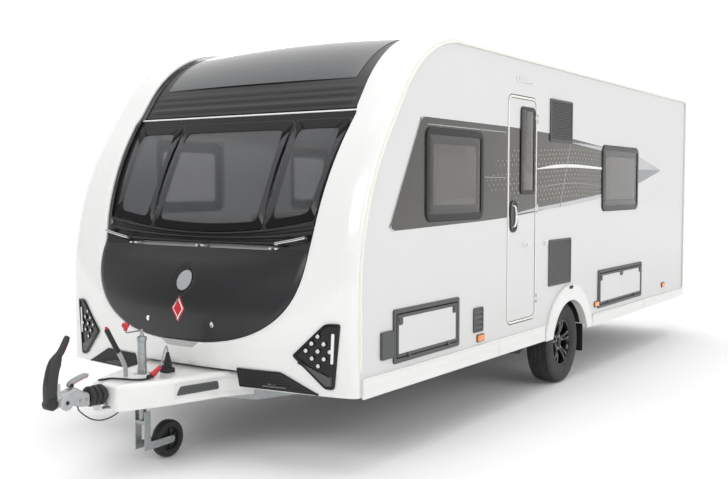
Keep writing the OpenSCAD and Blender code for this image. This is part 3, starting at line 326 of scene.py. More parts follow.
def merge(surfaces):
    """Several surfaces as one."""
    points, faces, start = [], [], 0
    for p, f in surfaces:
        points.append(p)
        faces.extend([[i + start for i in face] for face in f])
        start += len(p)
    return np.concatenate(points), faces


def mirrored(surface):
    """The surface and its mirror image across the middle plane."""
    points, faces = surface
    return merge([surface, (points * [-1, 1, 1], [f[::-1] for f in faces])])


def moved(surface, by):
    """The surface shifted by a vector."""
    return surface[0] + np.asarray(by, float), surface[1]


def turned(surface, angle, axis, about=(0, 0, 0)):
    """The surface turned by an angle round one of the axes 0, 1 or 2, through a point."""
    j, k = (axis + 1) % 3, (axis + 2) % 3
    turn = np.eye(3)
    turn[j, j] = turn[k, k] = math.cos(angle)
    turn[j, k], turn[k, j] = -math.sin(angle), math.sin(angle)
    about = np.asarray(about, float)
    return (surface[0] - about) @ turn.T + about, surface[1]


def unit(v):
    """Vectors of length one along the last axis."""
    return v / np.maximum(np.linalg.norm(v, axis=-1, keepdims=True), 1e-12)


def sweep(path, profile, up=(0, 0, 1), scale=None, closed=False, caps=True):
    """A flat profile carried along a path: its first size runs sideways, its second along 'up'
    made square to the path; scale widens it from place to place."""
    path = np.asarray(path, float)
    profile = np.asarray(profile, float)
    if closed:
        along = unit(np.roll(path, -1, 0) - np.roll(path, 1, 0))
    else:
        along = unit(np.gradient(path, axis=0))
    side = unit(np.cross(along, np.broadcast_to(np.asarray(up, float), along.shape)))
    rise = np.cross(side, along)
    share = np.ones(len(path)) if scale is None else np.asarray(scale, float)
    rings = (path[:, None] + share[:, None, None]
             * (side[:, None] * profile[None, :, :1] + rise[:, None] * profile[None, :, 1:]))
    if closed:
        return grid(rings, wrap_rows=True, wrap_cols=True)
    return loft(rings, caps)


def circle(radius, sides=16, squash=1.0):
    """Round or oval outline about the origin."""
    a = np.arange(sides) * 2 * math.pi / sides
    return np.stack([radius * np.cos(a), radius * squash * np.sin(a)], -1)


def tube(path, radius, sides=12, up=(0, 0, 1), **more):
    """Round bar along a path."""
    return sweep(path, circle(radius, sides), up, **more)


def turned_form(profile, centre, axis=2, sides=48):
    """Profile of (distance along the axis, radius) spun round an axis through a centre."""
    profile = np.asarray(profile, float)
    a = np.arange(sides) * 2 * math.pi / sides
    rings = np.zeros((len(profile), sides, 3))
    rings[..., axis] = profile[:, :1]
    rings[..., (axis + 1) % 3] = profile[:, 1:] * np.cos(a)
    rings[..., (axis + 2) % 3] = profile[:, 1:] * np.sin(a)
    return loft(rings + np.asarray(centre, float))


def rounded(low, high, r, n=7):
    """Outline of a rectangle with round corners, made of four quarter circles."""
    quarter = np.linspace(0, math.pi / 2, n)
    corners = ((high[0] - r, high[1] - r), (low[0] + r, high[1] - r),
               (low[0] + r, low[1] + r), (high[0] - r, low[1] + r))
    return np.concatenate([
        np.stack([c[0] + r * np.cos(quarter + k * math.pi / 2),
                  c[1] + r * np.sin(quarter + k * math.pi / 2)], -1)
        for k, c in enumerate(corners)])


def softened(corners, r, n=5):
    """Outline through corners, each cut off at distance r and rounded by a quadratic curve."""
    p = np.asarray(corners, float)
    r = np.broadcast_to(np.asarray(r, float), (len(p),))[:, None]
    before = p + unit(np.roll(p, 1, 0) - p) * r
    after = p + unit(np.roll(p, -1, 0) - p) * r
    t = np.linspace(0, 1, n)[None, :, None]
    curve = (1 - t) ** 2 * before[:, None] + 2 * t * (1 - t) * p[:, None] + t ** 2 * after[:, None]
    return curve.reshape(-1, 2)


def inset(outline, d):
    """The outline pulled in by d, square to itself; it runs anticlockwise."""
    along = unit(np.roll(outline, -1, 0) - np.roll(outline, 1, 0))
    return outline + d * np.stack([-along[:, 1], along[:, 0]], -1)


def on_wall(outline, x):
    """A (y, z) outline, measured from the axle line, stood on the side wall at x."""
    outline = np.asarray(outline, float)
    return np.stack([np.broadcast_to(x, outline[:, 0].shape), outline[:, 0] + AXLE_Y,
                     outline[:, 1]], -1)


def plate(outline, x0, x1, edge=0.0015):
    """Flat piece on the side wall from x0 out to x1, with its outer edge broken."""
    return loft([on_wall(outline, x0), on_wall(outline, x1 - edge),
                 on_wall(inset(outline, edge), x1)])


def wall_ring(outer, inner, x0, x1, edge=0.003):
    """Frame on the side wall between two outlines with the same number of points."""
    rings = [on_wall(outer, x0), on_wall(outer, x1 - edge), on_wall(inset(outer, edge), x1),
             on_wall(inset(inner, -edge), x1), on_wall(inner, x1 - edge), on_wall(inner, x0)]
    return grid(np.array(rings), wrap_rows=True, wrap_cols=True)


def block(low, high, edge=0.003):
    """Box with broken edges, measured along the frame's own axes."""
    low, high = np.asarray(low, float), np.asarray(high, float)
    e = min(edge, float((high - low).min()) / 4.5)
    rings = []
    for z, cut in ((low[2], e), (low[2] + e, 0), (high[2] - e, 0), (high[2], e)):
        flat = softened([[low[0] + cut, low[1] + cut], [high[0] - cut, low[1] + cut],
                         [high[0] - cut, high[1] - cut], [low[0] + cut, high[1] - cut]], e, 3)
        rings.append(np.column_stack([flat, np.full(len(flat), z)]))
    return loft(rings)


def spline(points, n):
    """Smooth curve through given points, n steps between each pair."""
    p = np.asarray(points, float)
    a, b = np.concatenate([p[:1], p[:-2]]), p[:-1]
    c, d = p[1:], np.concatenate([p[2:], p[-1:]])
    t = (np.arange(n) / n)[None, :, None]
    a, b, c, d = (q[:, None] for q in (a, b, c, d))
    curve = 0.5 * (2 * b + (c - a) * t + (2 * a - 5 * b + 4 * c - d) * t ** 2
                   + (3 * b - a - 3 * c + d) * t ** 3)
    return np.concatenate([curve.reshape(-1, p.shape[1]), p[-1:]])


def at_axle(points):
    """Points measured from the axle line, moved into the frame."""
    return np.asarray(points, float) + [0, AXLE_Y, 0]


def piece(name, surface, slot, finish, body=ROOM, crease=35):
    """One object of a surface: doubles merged, faces turned outwards, riding on a body."""
    points, faces = surface
    mesh = bpy.data.meshes.new(name)
    mesh.from_pydata(points.tolist(), [], faces)
    form = bmesh.new()
    form.from_mesh(mesh)
    bmesh.ops.remove_doubles(form, verts=form.verts, dist=1e-6)
    bmesh.ops.recalc_face_normals(form, faces=form.faces)
    form.to_mesh(mesh)
    form.free()
    mesh.polygons.foreach_set("use_smooth", [True] * len(mesh.polygons))
    mesh.set_sharp_from_angle(angle=math.radians(crease))
    mesh.materials.append(finish)
    thing = bpy.data.objects.new(name, mesh)
    bpy.context.scene.collection.objects.link(thing)
    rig.ride(thing, body)
    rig.slot(thing, slot)
    return thing


# ---- The front's own surface ----


class Front:
    """The front's line and the shapes laid on it, as functions of whole arrays."""

    def __init__(self, sizes):
        self.z = sizes
        z = sizes
        self.s_arc = z.lean_z - z.floor_z
        self.s_rake = self.s_arc + z.nose_r * z.lean
        self.s_brow = self.s_rake + z.rake_len
        self.rake_z = z.lean_z + z.nose_r * math.sin(z.lean) + z.rake_len * math.cos(z.lean)
        self.brow_r = (z.roof_z - self.rake_z) / (1 - math.sin(z.lean))
        self.s_roof = self.s_brow + self.brow_r * (math.pi / 2 - z.lean)
        self.s_end = self.s_roof + 0.040

    def line(self, s):
        """Place (y, z) and lean at a walked length: upright, curve, rake, brow and roof."""
        z = self.z
        s = np.asarray(s, float)
        a = np.clip((s - self.s_arc) / z.nose_r, 0, z.lean)
        rake = np.clip(s - self.s_rake, 0, z.rake_len)
        b = np.clip((s - self.s_brow) / self.brow_r, 0, math.pi / 2 - z.lean)
        over = np.maximum(s - self.s_roof, 0)
        y = (-z.reach + z.nose_r * (1 - np.cos(a)) + rake * math.sin(z.lean)
             + self.brow_r * (math.cos(z.lean) - np.cos(z.lean + b)) + over)
        up = (z.floor_z + np.clip(s, None, self.s_arc) + z.nose_r * np.sin(a)
              + rake * math.cos(z.lean) + self.brow_r * (np.sin(z.lean + b) - math.sin(z.lean)))
        return y, up, a + b

    def s_at(self, height):
        """Walked length at a height."""
        z = self.z
        h = np.asarray(height, float)
        curve_top = z.lean_z + z.nose_r * math.sin(z.lean)
        in_curve = self.s_arc + z.nose_r * np.arcsin(np.clip((h - z.lean_z) / z.nose_r, 0, 1))
        in_rake = self.s_rake + (h - curve_top) / math.cos(z.lean)
        share = np.clip(math.sin(z.lean) + (h - self.rake_z) / self.brow_r, 0, 1)
        in_brow = self.s_brow + self.brow_r * (np.arcsin(share) - z.lean)
        return np.where(h < z.lean_z, h - z.floor_z, np.where(h < curve_top, in_curve,
                                                              np.where(h < self.rake_z, in_rake,
                                                                       in_brow)))

    def swelling(self, height):
        """Share of the nose swelling at a height: a quarter sine, easing off downwards."""
        h = np.asarray(height, float)
        upper = np.sin(math.pi / 2 * np.clip((1.2 - h) / 0.4, 0, 1))
        lower = 1 - 0.37 * ((0.8 - h) / (0.8 - self.z.floor_z)) ** 2
        return np.where(h > 0.8, upper, lower)

    def corner(self, x):
        """Share of the moulding's rise left across the width: a quarter ellipse at the corners."""
        d = np.maximum(0, np.abs(x) - (self.z.half - self.z.corner)) / self.z.corner
        return np.sqrt(np.maximum(0, 1 - d * d))

    def band_lift(self, x):
        """How proud of the walls' line the white moulding stands."""
        return 0.008 + (self.z.rise - 0.008) * self.corner(x)

    def at(self, x, s, lift):
        """Points on the front, lift metres proud of the walls' line, square to it."""
        z = self.z
        x, s, lift = np.broadcast_arrays(np.asarray(x, float), np.asarray(s, float),
                                         np.asarray(lift, float))
        y, up, a = self.line(s)
        swell = z.bulge * self.swelling(up) * np.maximum(0, 1 - (x / z.bulge_half) ** 2)
        crown = (z.crown * (1 - (x / z.half) ** 2)
                 * np.maximum(0, (a - z.lean) / (math.pi / 2 - z.lean)))
        return np.stack([x, y - lift * np.cos(a) - swell + AXLE_Y, up + lift * np.sin(a) + crown],
                        -1)

    def patch(self, x, s, lift, thick):
        """Closed plate over tables of x and s, its outer face at lift."""
        return shell(self.at(x, s, lift), self.at(x, s, np.asarray(lift) - thick))

    def laid(self, outline, lift, thick, edge=0.0015, bulge=0.0):
        """Plate with a free outline of (x, height), laid on the front with a broken edge."""
        flat = [(outline, lift - thick), (outline, lift - edge), (inset(outline, edge), lift)]
        if bulge:
            flat.append((inset(outline, 4 * edge), lift + bulge))
        return loft([self.at(o[:, 0], self.s_at(o[:, 1]), up) for o, up in flat])

    def ring(self, outer, inner, lift, thick, edge=0.002):
        """Frame laid on the front between two outlines of (x, height)."""
        flat = [(outer, lift - thick), (outer, lift - edge), (inset(outer, edge), lift),
                (inset(inner, -edge), lift), (inner, lift - edge), (inner, lift - thick)]
        rings = np.array([self.at(o[:, 0], self.s_at(o[:, 1]), up) for o, up in flat])
        return grid(rings, wrap_rows=True, wrap_cols=True)

    def win_half(self, height):
        """Half width of the window opening at a height."""
        z = self.z
        low = z.win_mid_z + z.win_low_rise
        share = (height - low) / (z.win_top_z - low)
        return z.win_low_half + (z.win_top_half - z.win_low_half) * share

    def win_low(self, x):
        """Height of the windows' lower edge across the width: a shallow parabola."""
        return self.z.win_mid_z + self.z.win_low_rise * (x / self.z.win_low_half) ** 2

    def lid_edge(self, a, grow=0.0):
        """Outline of the lid's foot, a squared oval: 0 at the hinge's end, 90 degrees lowest."""
        z = self.z
        return ((z.lid_half + grow) * np.cos(a) ** 0.8,
                z.lid_top - (z.lid_drop + grow) * np.sin(a) ** 0.8)


# ---- Finishes ----


# Dust thins out from DUST_FULL up to DUST_NONE, heights over the ground.
DUST_FULL, DUST_NONE = 0.25, 0.95
DUST_COLOUR = (0.33, 0.31, 0.28, 1)


def shader(tree, kind, sockets=None, **settings):
    """A shader node: settings are its own properties, sockets what goes into its inputs, a
    number or colour as a value and another node's socket as a link."""
    made = tree.nodes.new("ShaderNode" + kind)
    for key, value in settings.items():
        setattr(made, key, value)
    for key, value in (sockets or {}).items():
        if isinstance(value, bpy.types.NodeSocket):
            tree.links.new(value, made.inputs[key])
        else:
            made.inputs[key].default_value = value
    return made


def finish_of(name, colour, rough=0.4, metal=0.0, coat=0.0, vary=0.06, scale=6.0,
              grain=0.0, grain_scale=400.0, rough_vary=0.08, dust=0.0, stretch=None, **sockets):
    """A procedural finish: colour drifts with slow noise, gloss with a second noise, fine grain
    lifts the surface, and dust greys whatever is near the ground."""
    m = bpy.data.materials.new(name)
    m.use_nodes = True
    tree = m.node_tree
    bsdf = tree.nodes["Principled BSDF"]
    bsdf.inputs["Metallic"].default_value = metal
    bsdf.inputs["Coat Weight"].default_value = coat
    bsdf.inputs["Coat Roughness"].default_value = 0.08
    for key, value in sockets.items():
        bsdf.inputs[key.replace("_", " ").title().replace("Ior", "IOR")].default_value = value
    place = shader(tree, "TexCoord").outputs["Object"]
    if stretch:
        place = shader(tree, "Mapping", {"Vector": place, "Scale": stretch}).outputs["Vector"]
    slow = shader(tree, "TexNoise", {"Vector": place, "Scale": scale, "Detail": 5.0}).outputs["Fac"]
    shade = shader(tree, "Mix", {0: slow, 6: (*[c * (1 - vary) for c in colour], 1),
                               7: (*[min(1, c * (1 + vary)) for c in colour], 1)},
                 data_type="RGBA").outputs[2]
    if dust:
        place_up = shader(tree, "SeparateXYZ", {0: shader(tree, "TexCoord").outputs["Object"]})
        fade = shader(tree, "MapRange", {"Value": place_up.outputs["Z"], "From Min": DUST_NONE,
                                       "From Max": DUST_FULL, "To Max": dust})
        patch = shader(tree, "Math", {0: fade.outputs["Result"], 1: slow}, operation="MULTIPLY")
        shade = shader(tree, "Mix", {0: patch.outputs[0], 6: shade, 7: DUST_COLOUR},
                     data_type="RGBA").outputs[2]
    tree.links.new(shade, bsdf.inputs["Base Color"])
    gloss = shader(tree, "TexNoise", {"Vector": place, "Scale": scale * 5, "Detail": 3.0})
    spread = shader(tree, "MapRange", {"Value": gloss.outputs["Fac"],
                                     "To Min": max(0.02, rough - rough_vary),
                                     "To Max": min(1.0, rough + rough_vary)})
    tree.links.new(spread.outputs["Result"], bsdf.inputs["Roughness"])
    if grain:
        fine = shader(tree, "TexNoise", {"Vector": place, "Scale": grain_scale, "Detail": 2.0})
        bump = shader(tree, "Bump", {"Height": fine.outputs["Fac"], "Strength": grain,
                                   "Distance": 0.001})
        tree.links.new(bump.outputs["Normal"], bsdf.inputs["Normal"])
    return m


def pattern(m, make, colour, amount=1.0):
    """Lays a second colour over a finish where make() gives 1."""
    tree = m.node_tree
    base = tree.nodes["Principled BSDF"].inputs["Base Color"]
    share = shader(tree, "Math", {0: make(tree), 1: amount}, operation="MULTIPLY")
    over = shader(tree, "Mix", {0: share.outputs[0], 6: base.links[0].from_socket,
                              7: (*colour, 1)}, data_type="RGBA")
    tree.links.new(over.outputs[2], base)
    return m


def zinc_spangle(tree):
    """Pale flakes of a galvanised coat: cell colours of a small Voronoi pattern."""
    cells = shader(tree, "TexVoronoi", {"Vector": shader(tree, "TexCoord").outputs["Object"],
                                      "Scale": 110.0})
    return shader(tree, "SeparateColor", {0: cells.outputs["Color"]}).outputs[0]


def wood_grain(tree):
    """Long bands of timber: a wave pattern bent by noise."""
    mapping = shader(tree, "Mapping", {"Vector": shader(tree, "TexCoord").outputs["Object"],
                                     "Scale": (4.0, 0.6, 4.0)})
    wave = shader(tree, "TexWave", {"Vector": mapping.outputs["Vector"], "Scale": 7.0,
                                  "Distortion": 9.0, "Detail": 3.0, "Detail Scale": 1.4},
                bands_direction="Z")
    return wave.outputs["Fac"]


def weave(tree):
    """Threads of a plain weave: two crossed fine waves, the brighter one showing."""
    place = shader(tree, "TexCoord").outputs["Object"]
    across, along = [shader(tree, "TexWave", {"Vector": place, "Scale": 160.0, "Distortion": 0.4},
                          bands_direction=direction).outputs["Fac"] for direction in "XY"]
    return shader(tree, "Math", {0: across, 1: along}, operation="MAXIMUM").outputs[0]


class Finishes:
    """Every finish of the caravan, made once."""

    def __init__(self, c):
        f = finish_of
        self.sheet = f("side_sheet", c.wall, 0.30, coat=0.35, vary=0.012, scale=1.4,
                       grain=0.05, grain_scale=35, dust=0.30, rough_vary=0.05)
        self.moulding = f("white_moulding", c.moulding, 0.20, coat=0.5, vary=0.012, scale=2.0,
                          grain=0.03, grain_scale=60, dust=0.22, rough_vary=0.05)
        self.rail = f("awning_rail", c.rail, 0.38, vary=0.03, scale=8, grain=0.10, dust=0.1)
        self.graphite = f("graphite_moulding", c.graphite, 0.34, coat=0.10, vary=0.10, scale=3,
                          grain=0.12, grain_scale=700, rough_vary=0.06, specular_ior_level=0.4)
        self.roof_glass = f("sunroof_panel", (0.055, 0.058, 0.062), 0.16, coat=0.6, vary=0.20,
                            scale=1.1, grain=0.02)
        self.black = f("black_trim", c.black, 0.22, vary=0.10, scale=10, rough_vary=0.06,
                       specular_ior_level=0.35)
        self.black_matt = f("black_moulding", (0.014, 0.014, 0.015), 0.52, vary=0.12, scale=14,
                            grain=0.25, grain_scale=900)
        self.grey = f("grey_plastic", c.grey, 0.48, vary=0.05, scale=10, grain=0.22,
                      grain_scale=900)
        self.black_grey = f("dark_handle", (0.022, 0.023, 0.025), 0.42, vary=0.08, scale=10,
                            grain=0.2, grain_scale=900)
        self.pale_grey = f("pale_grey_plastic", (0.30, 0.31, 0.32), 0.42, vary=0.05, scale=12,
                           grain=0.15, grain_scale=700)
        self.glass = f("tinted_acrylic", c.glass, 0.05, vary=0.05, scale=2, rough_vary=0.02,
                       transmission_weight=0.92, ior=1.49)
        self.front_glass = f("front_acrylic", (0.30, 0.31, 0.33), 0.05, vary=0.08, scale=1.5,
                             rough_vary=0.02, transmission_weight=0.85, ior=1.5)
        self.zinc = pattern(f("galvanised_steel", (0.33, 0.35, 0.36), 0.40, 0.85, vary=0.10,
                              scale=18, grain=0.2, grain_scale=300, dust=0.12),
                            zinc_spangle, (0.55, 0.57, 0.58), 0.45)
        self.chrome = f("polished_bar", (0.82, 0.83, 0.84), 0.10, 1.0, vary=0.03, scale=12,
                        rough_vary=0.05)
        self.cast = f("cast_grey", (0.42, 0.43, 0.44), 0.38, 0.35, vary=0.06, scale=25, grain=0.4,
                      grain_scale=500)
        self.alloy = f("black_alloy", (0.010, 0.010, 0.011), 0.22, 0.3, coat=0.7, vary=0.12,
                       scale=20)
        self.rubber = f("tyre_rubber", (0.016, 0.016, 0.017), 0.72, vary=0.18, scale=14, grain=0.5,
                        grain_scale=450, dust=0.12)
        self.soft_black = f("soft_black_rubber", (0.013, 0.013, 0.014), 0.50, vary=0.15, scale=30,
                            grain=0.3, grain_scale=700)
        self.red = f("signal_red", c.red, 0.34, coat=0.2, vary=0.08, scale=25, grain=0.1)
        self.amber = f("amber_lens", c.amber, 0.14, coat=0.7, vary=0.10, scale=60)
        self.red_lens = f("red_lens", (0.42, 0.008, 0.010), 0.14, coat=0.8, vary=0.10, scale=60)
        self.clear_lens = f("clear_lens", (0.62, 0.64, 0.66), 0.10, 0.25, coat=0.8, vary=0.08,
                            scale=80)
        self.board = f("floor_board", (0.055, 0.050, 0.045), 0.75, vary=0.25, scale=5, grain=0.5,
                       grain_scale=120, dust=0.2)
        self.timber = pattern(f("cabinet_timber", (0.30, 0.20, 0.12), 0.36, coat=0.2, vary=0.10,
                                scale=3), wood_grain, (0.17, 0.105, 0.06), 0.6)
        self.cream = f("cream_door", (0.66, 0.60, 0.52), 0.30, coat=0.25, vary=0.03, scale=4)
        self.lining = f("wall_lining", (0.55, 0.52, 0.47), 0.55, vary=0.04, scale=6, grain=0.2)
        self.cloth = pattern(f("upholstery_weave", (0.36, 0.30, 0.24), 0.88, vary=0.10, scale=9,
                               grain=0.5, grain_scale=500, sheen_weight=0.35),
                             weave, (0.52, 0.45, 0.37), 0.5)
        self.pillow = pattern(f("pale_pillow", (0.58, 0.56, 0.52), 0.9, vary=0.05, scale=12,
                                grain=0.4, grain_scale=600, sheen_weight=0.3),
                              weave, (0.66, 0.64, 0.60), 0.4)
        self.film = f("side_film", c.decal, 0.26, 0.25, coat=0.4, vary=0.22, scale=1.6,
                      rough_vary=0.04)
        self.silver = f("silver_film", (0.50, 0.51, 0.52), 0.24, 0.8, coat=0.3, vary=0.25, scale=3)
        self.dot = f("beige_film", (0.55, 0.46, 0.30), 0.35, vary=0.05, scale=40)
        self.lip = f("grey_lip", (0.42, 0.43, 0.43), 0.36, coat=0.2, vary=0.03, scale=10)
        self.plate = f("blank_plate", (0.80, 0.80, 0.78), 0.35, vary=0.02, scale=12, coat=0.3)


KIT = {}


def finishes():
    """The set of finishes, made on first use."""
    if "finishes" not in KIT:
        KIT["finishes"] = Finishes(bpy.context.scene.caravan_colours)
    return KIT["finishes"]


def front():
    """The front's surface, made on first use."""
    if "front" not in KIT:
        KIT["front"] = Front(bpy.context.scene.caravan_front)
    return KIT["front"]


# ---- Stage ----


class CARAVAN_OT_stage(bpy.types.Operator):
    """Camera, lights, pale floor and sky light"""

    bl_idname = "caravan.stage"
    bl_label = "Stage"

    def execute(self, context):
        scene = context.scene
        eye = bpy.data.cameras.new("Camera")
        eye.lens, eye.sensor_width = 46.5, 36.0
        eye.clip_end = 200
        camera = bpy.data.objects.new("Camera", eye)
        camera.location = (3.894, -6.586, 1.54)
        camera.rotation_euler = (math.radians(90 - 3.23), 0, math.radians(34))
        scene.collection.objects.link(camera)
        scene.camera = camera
        scene.view_settings.view_transform = "Standard"
        for name, place, aim, wide, tall, power in (
                ("key", (1.5, -12.0, 7.5), (0, -2.5, 1.2), 9.0, 5.0, 560),
                ("side", (11.0, -1.0, 5.5), (1.1, 0.5, 1.3), 9.0, 4.0, 210),
                ("top", (0.0, 0.0, 9.0), (0, 0, 0), 7.0, 10.0, 260),
                ("back", (-7.0, 9.0, 5.0), (0, 1.0, 1.2), 7.0, 4.0, 160),
                ("cabin_front", (0, -1.1, 2.36), (0, -1.1, 0), 0.5, 1.2, 14),
                ("cabin_rear", (0, 1.6, 2.36), (0, 1.6, 0), 0.5, 1.2, 8)):
            lamp = bpy.data.lights.new(name, "AREA")
            lamp.shape = "RECTANGLE"
            lamp.size, lamp.size_y, lamp.energy = wide, tall, power
            light = bpy.data.objects.new(name, lamp)
            light.location = place
            light.rotation_euler = (Vector(aim) - Vector(place)).to_track_quat("-Z", "Y").to_euler()
            scene.collection.objects.link(light)
        world = bpy.data.worlds.new("Studio")
        scene.world = world
        world.use_nodes = True
        tree = world.node_tree
        backdrop = tree.nodes["Background"].inputs
        backdrop["Strength"].default_value = 1.02
        # bright behind the caravan, dim where its front and windows would mirror it
        sky = shader(tree, "SeparateXYZ", {0: shader(tree, "TexCoord").outputs["Generated"]})
        fade = shader(tree, "MapRange", {"Value": sky.outputs["Y"], "From Min": -0.65,
                                         "From Max": 0.10, "To Min": 0.30},
                      interpolation_type="SMOOTHSTEP")
        tree.links.new(fade.outputs["Result"], backdrop["Color"])
        mesh = bpy.data.meshes.new("floor")
        mesh.from_pydata([(-60, -60, -0.001), (60, -60, -0.001), (60, 60, -0.001),
                          (-60, 60, -0.001)], [], [(0, 1, 2, 3)])
        pale = finish_of("pale_floor", (0.93, 0.93, 0.93), 0.7, vary=0.004, scale=0.5,
                         emission_color=(1, 1, 1, 1))
        mesh.materials.append(pale)
        # far from the caravan the floor glows a little, and meets the background with no line
        tree = pale.node_tree
        span = shader(tree, "VectorMath", {0: shader(tree, "TexCoord").outputs["Object"]},
                      operation="LENGTH")
        glow = shader(tree, "MapRange", {"Value": span.outputs["Value"], "From Min": 5,
                                         "From Max": 22, "To Min": 0.03, "To Max": 0.42})
        base = tree.nodes["Principled BSDF"].inputs
        tree.links.new(glow.outputs["Result"], base["Emission Strength"])
        floor = bpy.data.objects.new("floor", mesh)
        scene.collection.objects.link(floor)
        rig.stage(floor)
        return {"FINISHED"}


# ---- Cables ----

TOW_ROUTE = [[-.040, -3.652, .5118], [-.058, -3.610, .5058], [-.048, -3.566, .5058],
             [.010, -3.540, .5058], [.070, -3.524, .5058], [.112, -3.496, .5058],
             [.123, -3.460, .5058], [.121, -3.424, .5098]]
LEAD_ROUTE = [[.112, -3.356, .545], [.110, -3.340, .585], [.106, -3.324, .620],
              [.094, -3.300, .648], [.076, -3.272, .650], [.062, -3.254, .632],
              [.058, -3.248, .6134]]
BREAKAWAY_ROUTE = [[.024, -3.846, .421], [.025, -3.838, .394], [.028, -3.790, .352],
                   [.030, -3.740, .326], [.030, -3.680, .316], [.028, -3.620, .322],
                   [.026, -3.570, .342], [.024, -3.545, .366], [.024, -3.540, .379]]


def cable(name, route, diameter, far_end, finish, node, with_pieces=()):
    """A cable along given points, as one curve with a round section."""
    path = at_axle(spline(route, 4))
    line = bpy.data.curves.new(name, "CURVE")
    line.dimensions = "3D"
    line.bevel_depth = diameter / 2
    line.bevel_resolution = 4
    line.use_fill_caps = True
    strand = line.splines.new("POLY")
    strand.points.add(len(path) - 1)
    strand.points.foreach_set("co", np.column_stack([path, np.ones(len(path))]).ravel())
    thing = bpy.data.objects.new(name, line)
    line.materials.append(finish)
    bpy.context.scene.collection.objects.link(thing)
    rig.ride(thing, ROOM)
    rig.replaces(thing, node)
    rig.slot(thing, "black_rubber")
    length = float(np.linalg.norm(np.diff(path, axis=0), axis=1).sum())
    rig.cord(thing, exit=tuple(path[0]), length=round(length, 3), diameter=diameter,
            far_end=far_end, stiffness="medium", lay="loose", with_pieces=list(with_pieces))
    return thing


class CARAVAN_OT_cables(bpy.types.Operator):
    """Tow cable, plug lead and breakaway cable, with the plugs they end in"""

    bl_idname = "caravan.cables"
    bl_label = "Cables"

    def execute(self, context):
        f = finishes()
        core = spline([[.1225, -3.4330, .5150], [.1190, -3.4120, .5250], [.1150, -3.3840, .5390],
                       [.1120, -3.3560, .5530]], 8)
        share = np.linspace(0, 1, len(core))
        swell = np.interp(share, [0, .06, .30, .45, .70, .92, 1], [.72, 1, 1.02, .84, .80, .66,
                                                                   .45])
        ribs = 1 + .05 * (np.sin(share * 70) > 0) * (share > .5)
        oval = softened([[-.016, -.0135], [.016, -.0135], [.016, .0135], [-.016, .0135]], .011, 6)
        red = piece("tow_plug_red", sweep(at_axle(core), oval, scale=swell * ribs), "plug_red",
                    f.red, crease=40)
        tip = spline([[.1280, -3.4620, .5150], [.1255, -3.4480, .5150], [.1225, -3.4320, .5160]], 5)
        piece("tow_plug_nose", sweep(at_axle(tip), circle(.0125, 20),
                                     scale=np.interp(np.linspace(0, 1, len(tip)), [0, .1, 1],
                                                     [.8, 1, 1])), "black_trim", f.black_matt)
        socket = softened([[-.030, -.030], [.030, -.030], [.030, .030], [-.030, .030]], .008)
        base = loft([np.column_stack([socket * g, np.full(len(socket), z)])
                     for z, g in ((0, 1), (.020, 1), (.026, .9), (.026, .72))])
        cone = turned_form([[.024, 0], [.024, .0235], [.040, .0225], [.062, .018], [.085, .0135],
                            [.112, .0085], [.112, 0]], (0, 0, 0), 2, 32)
        collars = [turned_form([[z, .0], [z, r + .0022], [z + .003, r + .0026],
                                [z + .006, r + .0014], [z + .006, 0]], (0, 0, 0), 2, 32) for z,
                   r in ((.034, .0225), (.046, .021), (.058, .0185), (.070, .016), (.082, .0138))]
        flap = block([-.030, -.034, .002], [.030, -.028, .044])
        parked = moved(merge([base, cone, flap] + collars), at_axle([.058, -3.248, .5003]))
        black = piece("parked_plug", parked, "black_rubber", f.soft_black)
        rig.replaces(red, "tow_plugs")
        cable("cable_tow", TOW_ROUTE, .011, "plug", f.soft_black, "tow_cable", ["tow_plug_red"])
        cable("cable_plug_lead", LEAD_ROUTE, .009, "plug", f.pale_grey, "plug_lead", [black])
        cable("cable_breakaway", BREAKAWAY_ROUTE, .007, "object", f.soft_black, "breakaway_cable")
        return {"FINISHED"}


# ---- Front ----


def smooth_steps(*parts):
    """Runs of evenly spaced numbers, one after the other: (first, last, count)."""
    return np.concatenate([np.linspace(a, b, n, endpoint=False) for a, b, n in parts]
                          + [[parts[-1][1]]])


class CARAVAN_OT_front_moulding(bpy.types.Operator):
    """White moulding beside the lid, windows and sunroof, over both corners"""

    bl_idname = "caravan.front_moulding"
    bl_label = "Front moulding"

    def execute(self, context):
        f, z, form = finishes(), context.scene.caravan_front, front()
        angle = np.radians(np.linspace(86, 0, 44))
        edge_x, edge_z = form.lid_edge(angle, z.gap)
        heights = [(z.floor_z, .400), (.470, .400), (.514, .400), (.516, 0), (.560, 0), (.610, 0),
                   (z.lid_top - z.lid_drop - z.gap, 0)]
        s = [form.s_at([h for h, _ in heights]), form.s_at(edge_z)]
        x = [np.array([w for _, w in heights]), edge_x]
        low = form.win_low(z.win_low_half)
        tall = np.linspace(low, z.win_top_z, 24)
        s += [form.s_at([z.lid_top + .020]), form.s_at(tall)]
        x += [np.array([z.lid_half + z.gap]), form.win_half(tall) + .034]
        over = np.linspace(float(form.s_at(z.sun_low)), form.s_end, 40)
        s.append(over)
        x.append(np.full(40, z.sun_half + .006))
        s, x = np.concatenate(s)[:, None], np.concatenate(x)[:, None]
        across = 1 - (1 - np.linspace(0, 1, 34)[None]) ** 2.0
        places = x + (z.half - x) * across
        lift = form.band_lift(places)
        # a soft step runs along the inner edge, as deep as it is far from it
        near = np.clip((places - x) / .030, 0, 1)
        lift = lift - .006 * (1 - near * near * (3 - 2 * near))
        outer = form.at(places, s, lift)
        inner = form.at(places, s, np.maximum(.0012, lift - .010))
        moulding = piece("front_band", mirrored(shell(outer, inner)), "white_moulding",
                         f.moulding, crease=50)
        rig.replaces(moulding, "front_moulding")
        lip = softened([[-.150, .657], [.150, .657], [.100, .622], [-.100, .622]], .012)[::-1]
        piece("lid_pull_lip", form.laid(lip, .0535, .006, .003), "grey_plastic", f.lip)
        return {"FINISHED"}


